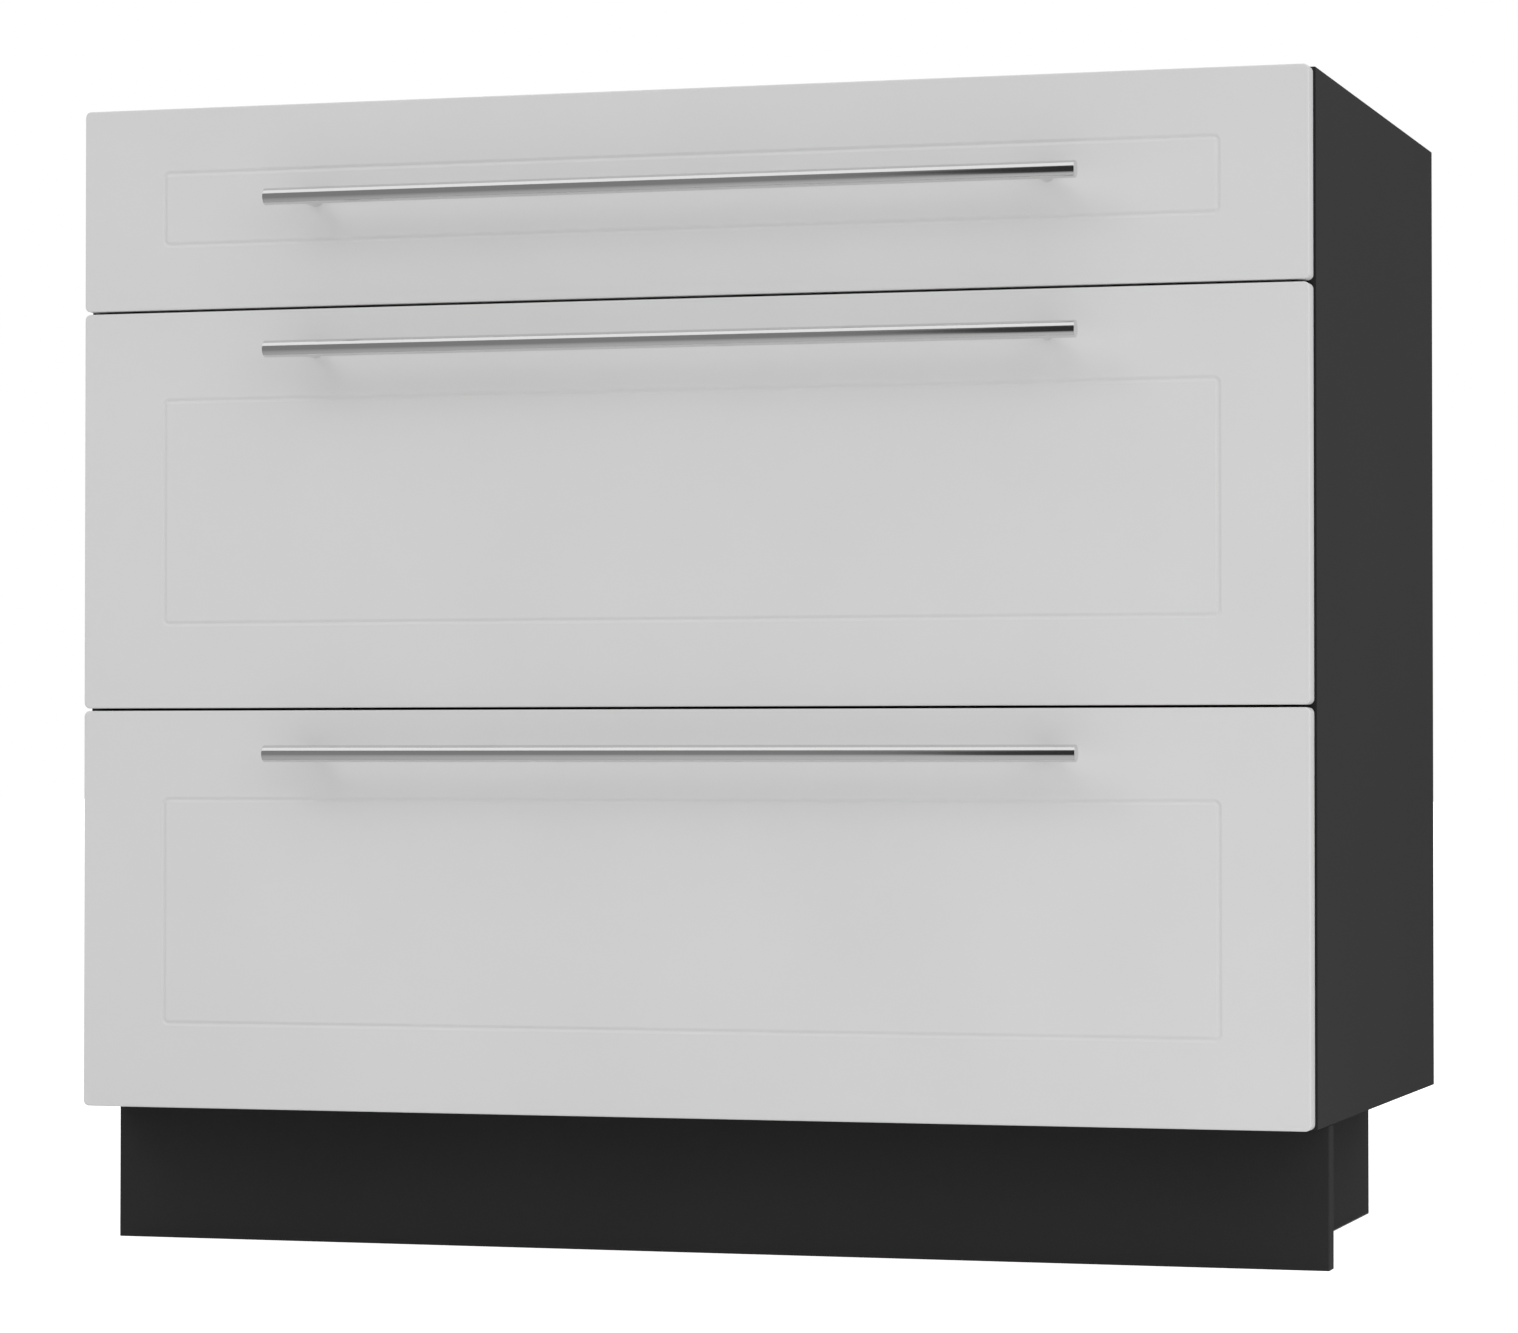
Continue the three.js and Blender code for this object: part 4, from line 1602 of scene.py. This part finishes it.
@dataclass(frozen=True)
class SoftLamp:
    """A large rectangular lamp that isn't seen in reflections.

    Attributes:
        name: Its name.
        place: Where it hangs.
        aim: The point that it faces.
        size: Its width and height.
        power: Its power in watts.
    """

    name: str
    place: Triple
    aim: Triple
    size: Span
    power: float

    def build(self) -> None:
        """Adds the lamp."""
        data = bpy.data.lights.new(self.name, "AREA")
        data.shape = "RECTANGLE"
        data.size, data.size_y = self.size
        data.energy = self.power
        lamp = bpy.data.objects.new(self.name, data)
        lamp.location = self.place
        aim = Vector(self.aim) - Vector(self.place)
        lamp.rotation_euler = aim.to_track_quat("-Z", "Y").to_euler()
        lamp.visible_glossy = False
        bpy.context.scene.collection.objects.link(lamp)


@dataclass(frozen=True)
class ReflectionRoom:
    """Grey walls and a grey floor that only gloss sees, open above so that the white surround shows there.

    Attributes:
        low: The room's lowest corner.
        high: Its highest corner.
        wall: Brightness before the cabinet.
        near: Brightness of the floor close before the cabinet, at the left and at the right.
        near_ends: Where these two lie along x.
        dark: Brightness of the dark half, to the right before the cabinet.
        rest: Brightness beside and behind the cabinet.
        ceiling: Brightness above and behind the cabinet.
        lean: The dark half's edge runs where x, y and z times these three numbers add up to its range.
        dark_edge: That range.
        dark_end: Where the dark half ends on the floor, along y.
        floor_fade: Where the floor goes from the wall's brightness to the near floor's, along y.
        rest_fade: Where the brightness goes over to the rest's, along y.
        ceiling_fade: Where the walls go over to the ceiling's brightness, along z.
        ceiling_start: Where the ceiling starts, along y.
    """

    low: Triple = (-9.0, -5.0, 0.001)
    high: Triple = (9.0, 7.0, 4.8)
    wall: float = 0.25
    near: Span = (0.42, 0.56)
    near_ends: Span = (-0.65, 0.1)
    dark: float = 0.025
    rest: float = 0.12
    ceiling: float = 0.6
    lean: Triple = (1.0, -0.26, 0.03)
    dark_edge: Span = (0.24, 0.3)
    dark_end: Span = (-1.45, -0.8)
    floor_fade: Span = (-2.0, -0.5)
    rest_fade: Span = (-0.25, 0.1)
    ceiling_fade: Span = (3.0, 4.75)
    ceiling_start: float = -0.3

    def brightness(self, book: NodeBook) -> Socket:
        """The room's brightness by place.

        Args:
            book: The room's node tree.

        Returns:
            Blends from the wall to the near floor, to the dark half and to the rest.
        """
        place = book.place()
        across, along, up = book.parts(place)
        near = book.ranged(across, self.near_ends, self.near)
        base = book.blended(book.ranged(along, self.floor_fade), self.wall, near)
        from_edge = book.add("VectorMath", {0: place, 1: self.lean}, operation="DOT_PRODUCT").outputs["Value"]
        before = book.ranged(along, self.dark_end, (1.0, 0.0))
        in_dark = book.math("MULTIPLY", book.ranged(from_edge, self.dark_edge), before)
        front = book.blended(in_dark, base, self.dark)
        behind = book.blended(book.ranged(up, self.ceiling_fade), self.rest, self.ceiling)
        return book.blended(book.ranged(along, self.rest_fade), front, behind)

    def shine(self, book: NodeBook) -> Socket:
        """A glow of the room's brightness, which is clear to light that has been diffuse.

        Args:
            book: The room's node tree.

        Returns:
            The shader.
        """
        glow = book.add("Emission", {"Strength": self.brightness(book)}).outputs[0]
        diffuse_bounces = book.add("LightPath").outputs["Diffuse Depth"]
        after_diffuse = book.math("GREATER_THAN", diffuse_bounces, 0.5)
        clear = book.add("BsdfTransparent").outputs[0]
        return book.add("MixShader", {0: after_diffuse, 1: glow, 2: clear}).outputs[0]

    def build(self) -> None:
        """Adds the room's four walls, its floor and the back half of its ceiling."""
        (x0, y0, z0), (x1, y1, z1) = self.low, self.high
        outline = [(x0, y0), (x1, y0), (x1, y1), (x0, y1)]
        corners = [(*corner, height) for height in (z0, z1) for corner in outline]
        corners += [(x0, self.ceiling_start, z1), (x1, self.ceiling_start, z1)]
        walls = [(step, (step + 1) % 4, (step + 1) % 4 + 4, step + 4) for step in range(4)]
        faces = [(0, 1, 2, 3), (8, 9, 6, 7), *walls]
        room = stage_part("reflection_room", corners, faces, "reflection_room", self.shine)
        room.visible_camera = False
        room.visible_diffuse = False
        room.visible_transmission = False
        room.visible_shadow = False


@dataclass(frozen=True)
class Studio:
    """A plain pale floor under a white surround, and large soft lamps.

    Attributes:
        surround: Brightness of the surround as a light, at the horizon and overhead.
        surround_right: What it adds towards the right.
        floor_level: The floor's own linear grey.
        floor_glow: What the floor adds where it is seen, so that it is white outside the shadow.
        bounce: What it adds as a light before the cabinet, like a white card, at the left and the right.
        bounce_ends: Where these two lie along x.
        bounce_fade: Where this starts and is full, along y.
        floor_reach: Half of the floor's width.
        lamps: The lamps.
    """

    surround: Span = (0.25, 1.25)
    surround_right: float = 0.77
    floor_level: float = 0.72
    floor_glow: float = 0.8
    bounce: Span = (0.17, 0.3)
    bounce_ends: Span = (-0.5, 0.6)
    bounce_fade: Span = (-1.7, -0.8)
    floor_reach: float = 40.0
    lamps: tuple[SoftLamp, ...] = (
        SoftLamp("key_lamp", (-2.85, -4.05, 4.15), (0.0, -0.3, 0.4), (2.2, 2.2), 38.0),
        SoftLamp("overhead_lamp", (-1.2, -5.6, 6.6), (0.0, -0.3, 0.4), (11.0, 6.0), 28.0),
        SoftLamp("side_lamp", (2.5, -2.8, 1.5), (0.0, -0.2, 0.4), (2.2, 2.2), 13.0),
    )

    @staticmethod
    def seen(book: NodeBook) -> Socket:
        """1 for what the camera sees, straight or in gloss or glass, and 0 for light that only bounces.

        Args:
            book: A node tree.

        Returns:
            The 1 or 0.
        """
        path = book.add("LightPath").outputs
        straight = book.math("MAXIMUM", path["Is Camera Ray"], path["Is Glossy Ray"])
        return book.math("MAXIMUM", straight, path["Is Transmission Ray"])

    def world(self) -> None:
        """Makes a surround that is white to the eye, and as a light rises from the horizon to overhead."""
        world = bpy.data.worlds.new("surround")
        bpy.context.scene.world = world
        book = NodeBook.opened(world)
        across, _, up = book.parts(book.add("TexCoord").outputs["Generated"])
        from_right = book.ranged(across, (0.0, 1.0), (0.0, self.surround_right))
        light = book.math("ADD", book.ranged(up, (0.0, 1.0), self.surround), from_right)
        background = world.node_tree.nodes["Background"]
        book.give(background, "Color", (1.0, 1.0, 1.0, 1.0))
        book.give(background, "Strength", book.blended(self.seen(book), light, 1.0))

    def floor_shine(self, book: NodeBook) -> Socket:
        """The floor's plain grey, which keeps the cabinet's shadow, and its glow.

        Args:
            book: The floor's node tree.

        Returns:
            The shader.
        """
        plain = book.add("BsdfDiffuse", {"Color": grey(self.floor_level)}).outputs[0]
        across, along, _ = book.parts(book.place())
        bounce = book.ranged(across, self.bounce_ends, self.bounce)
        card = book.math("MULTIPLY", bounce, book.ranged(along, self.bounce_fade))
        strength = book.blended(self.seen(book), card, self.floor_glow)
        glow = book.add("Emission", {"Strength": strength}).outputs[0]
        return book.add("AddShader", {0: plain, 1: glow}).outputs[0]

    def build(self) -> None:
        """Adds the surround, the floor, the lamps and the reflection room."""
        self.world()
        low, high = -self.floor_reach, self.floor_reach
        corners = [(low, low, 0.0), (high, low, 0.0), (high, high, 0.0), (low, high, 0.0)]
        stage_part("floor", corners, [(0, 1, 2, 3)], "pale_floor", self.floor_shine)
        for lamp in self.lamps:
            lamp.build()
        ReflectionRoom().build()


@dataclass(frozen=True)
class PhotoCamera:
    """A camera at the photograph's place, fitted to the cabinet's straight edges.

    Attributes:
        place: Where it stands.
        pitch: How far it looks up, in degrees.
        yaw: How far it looks to the left of straight ahead, in degrees.
        focal_pixels: Its focal length, in pixels of the photograph.
        image_width: The photograph's width in pixels.
        sensor: Width of the sensor, in millimetres.
    """

    place: Triple = (1.058957, -3.579948, 0.348666)
    pitch: float = 1.088221
    yaw: float = 16.624128
    focal_pixels: float = 5016.287
    image_width: float = 1518.0
    sensor: float = 36.0

    def build(self) -> None:
        """Adds the camera and makes it the scene's."""
        data = bpy.data.cameras.new("photo_camera")
        data.sensor_width = self.sensor
        data.lens = self.sensor * self.focal_pixels / self.image_width
        camera = bpy.data.objects.new("photo_camera", data)
        camera.location = self.place
        camera.rotation_euler = (math.radians(90 + self.pitch), 0.0, math.radians(self.yaw))
        bpy.context.scene.collection.objects.link(camera)
        bpy.context.scene.camera = camera


def main() -> None:
    """Builds the dressed cabinet and its studio."""
    logging.basicConfig(level=logging.INFO, format="%(message)s")
    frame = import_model()
    bpy.context.scene.view_settings.view_transform = "Standard"
    PhotoCamera().build()
    Studio().build()
    boards = Boards(frame["nodes"])
    boards.carcass()
    CamFasteners().build()
    for drawer, (line_inset, line_drop) in FRONT_LINES.items():
        DrawerFront(drawer, line_inset, line_drop).build()
        BarHandle(drawer).build()
        boards.drawer_box(drawer)
        DrawerHardware(drawer).build()
        for side in Side:
            Runner(drawer, side).build()


if __name__ == "__main__":
    main()
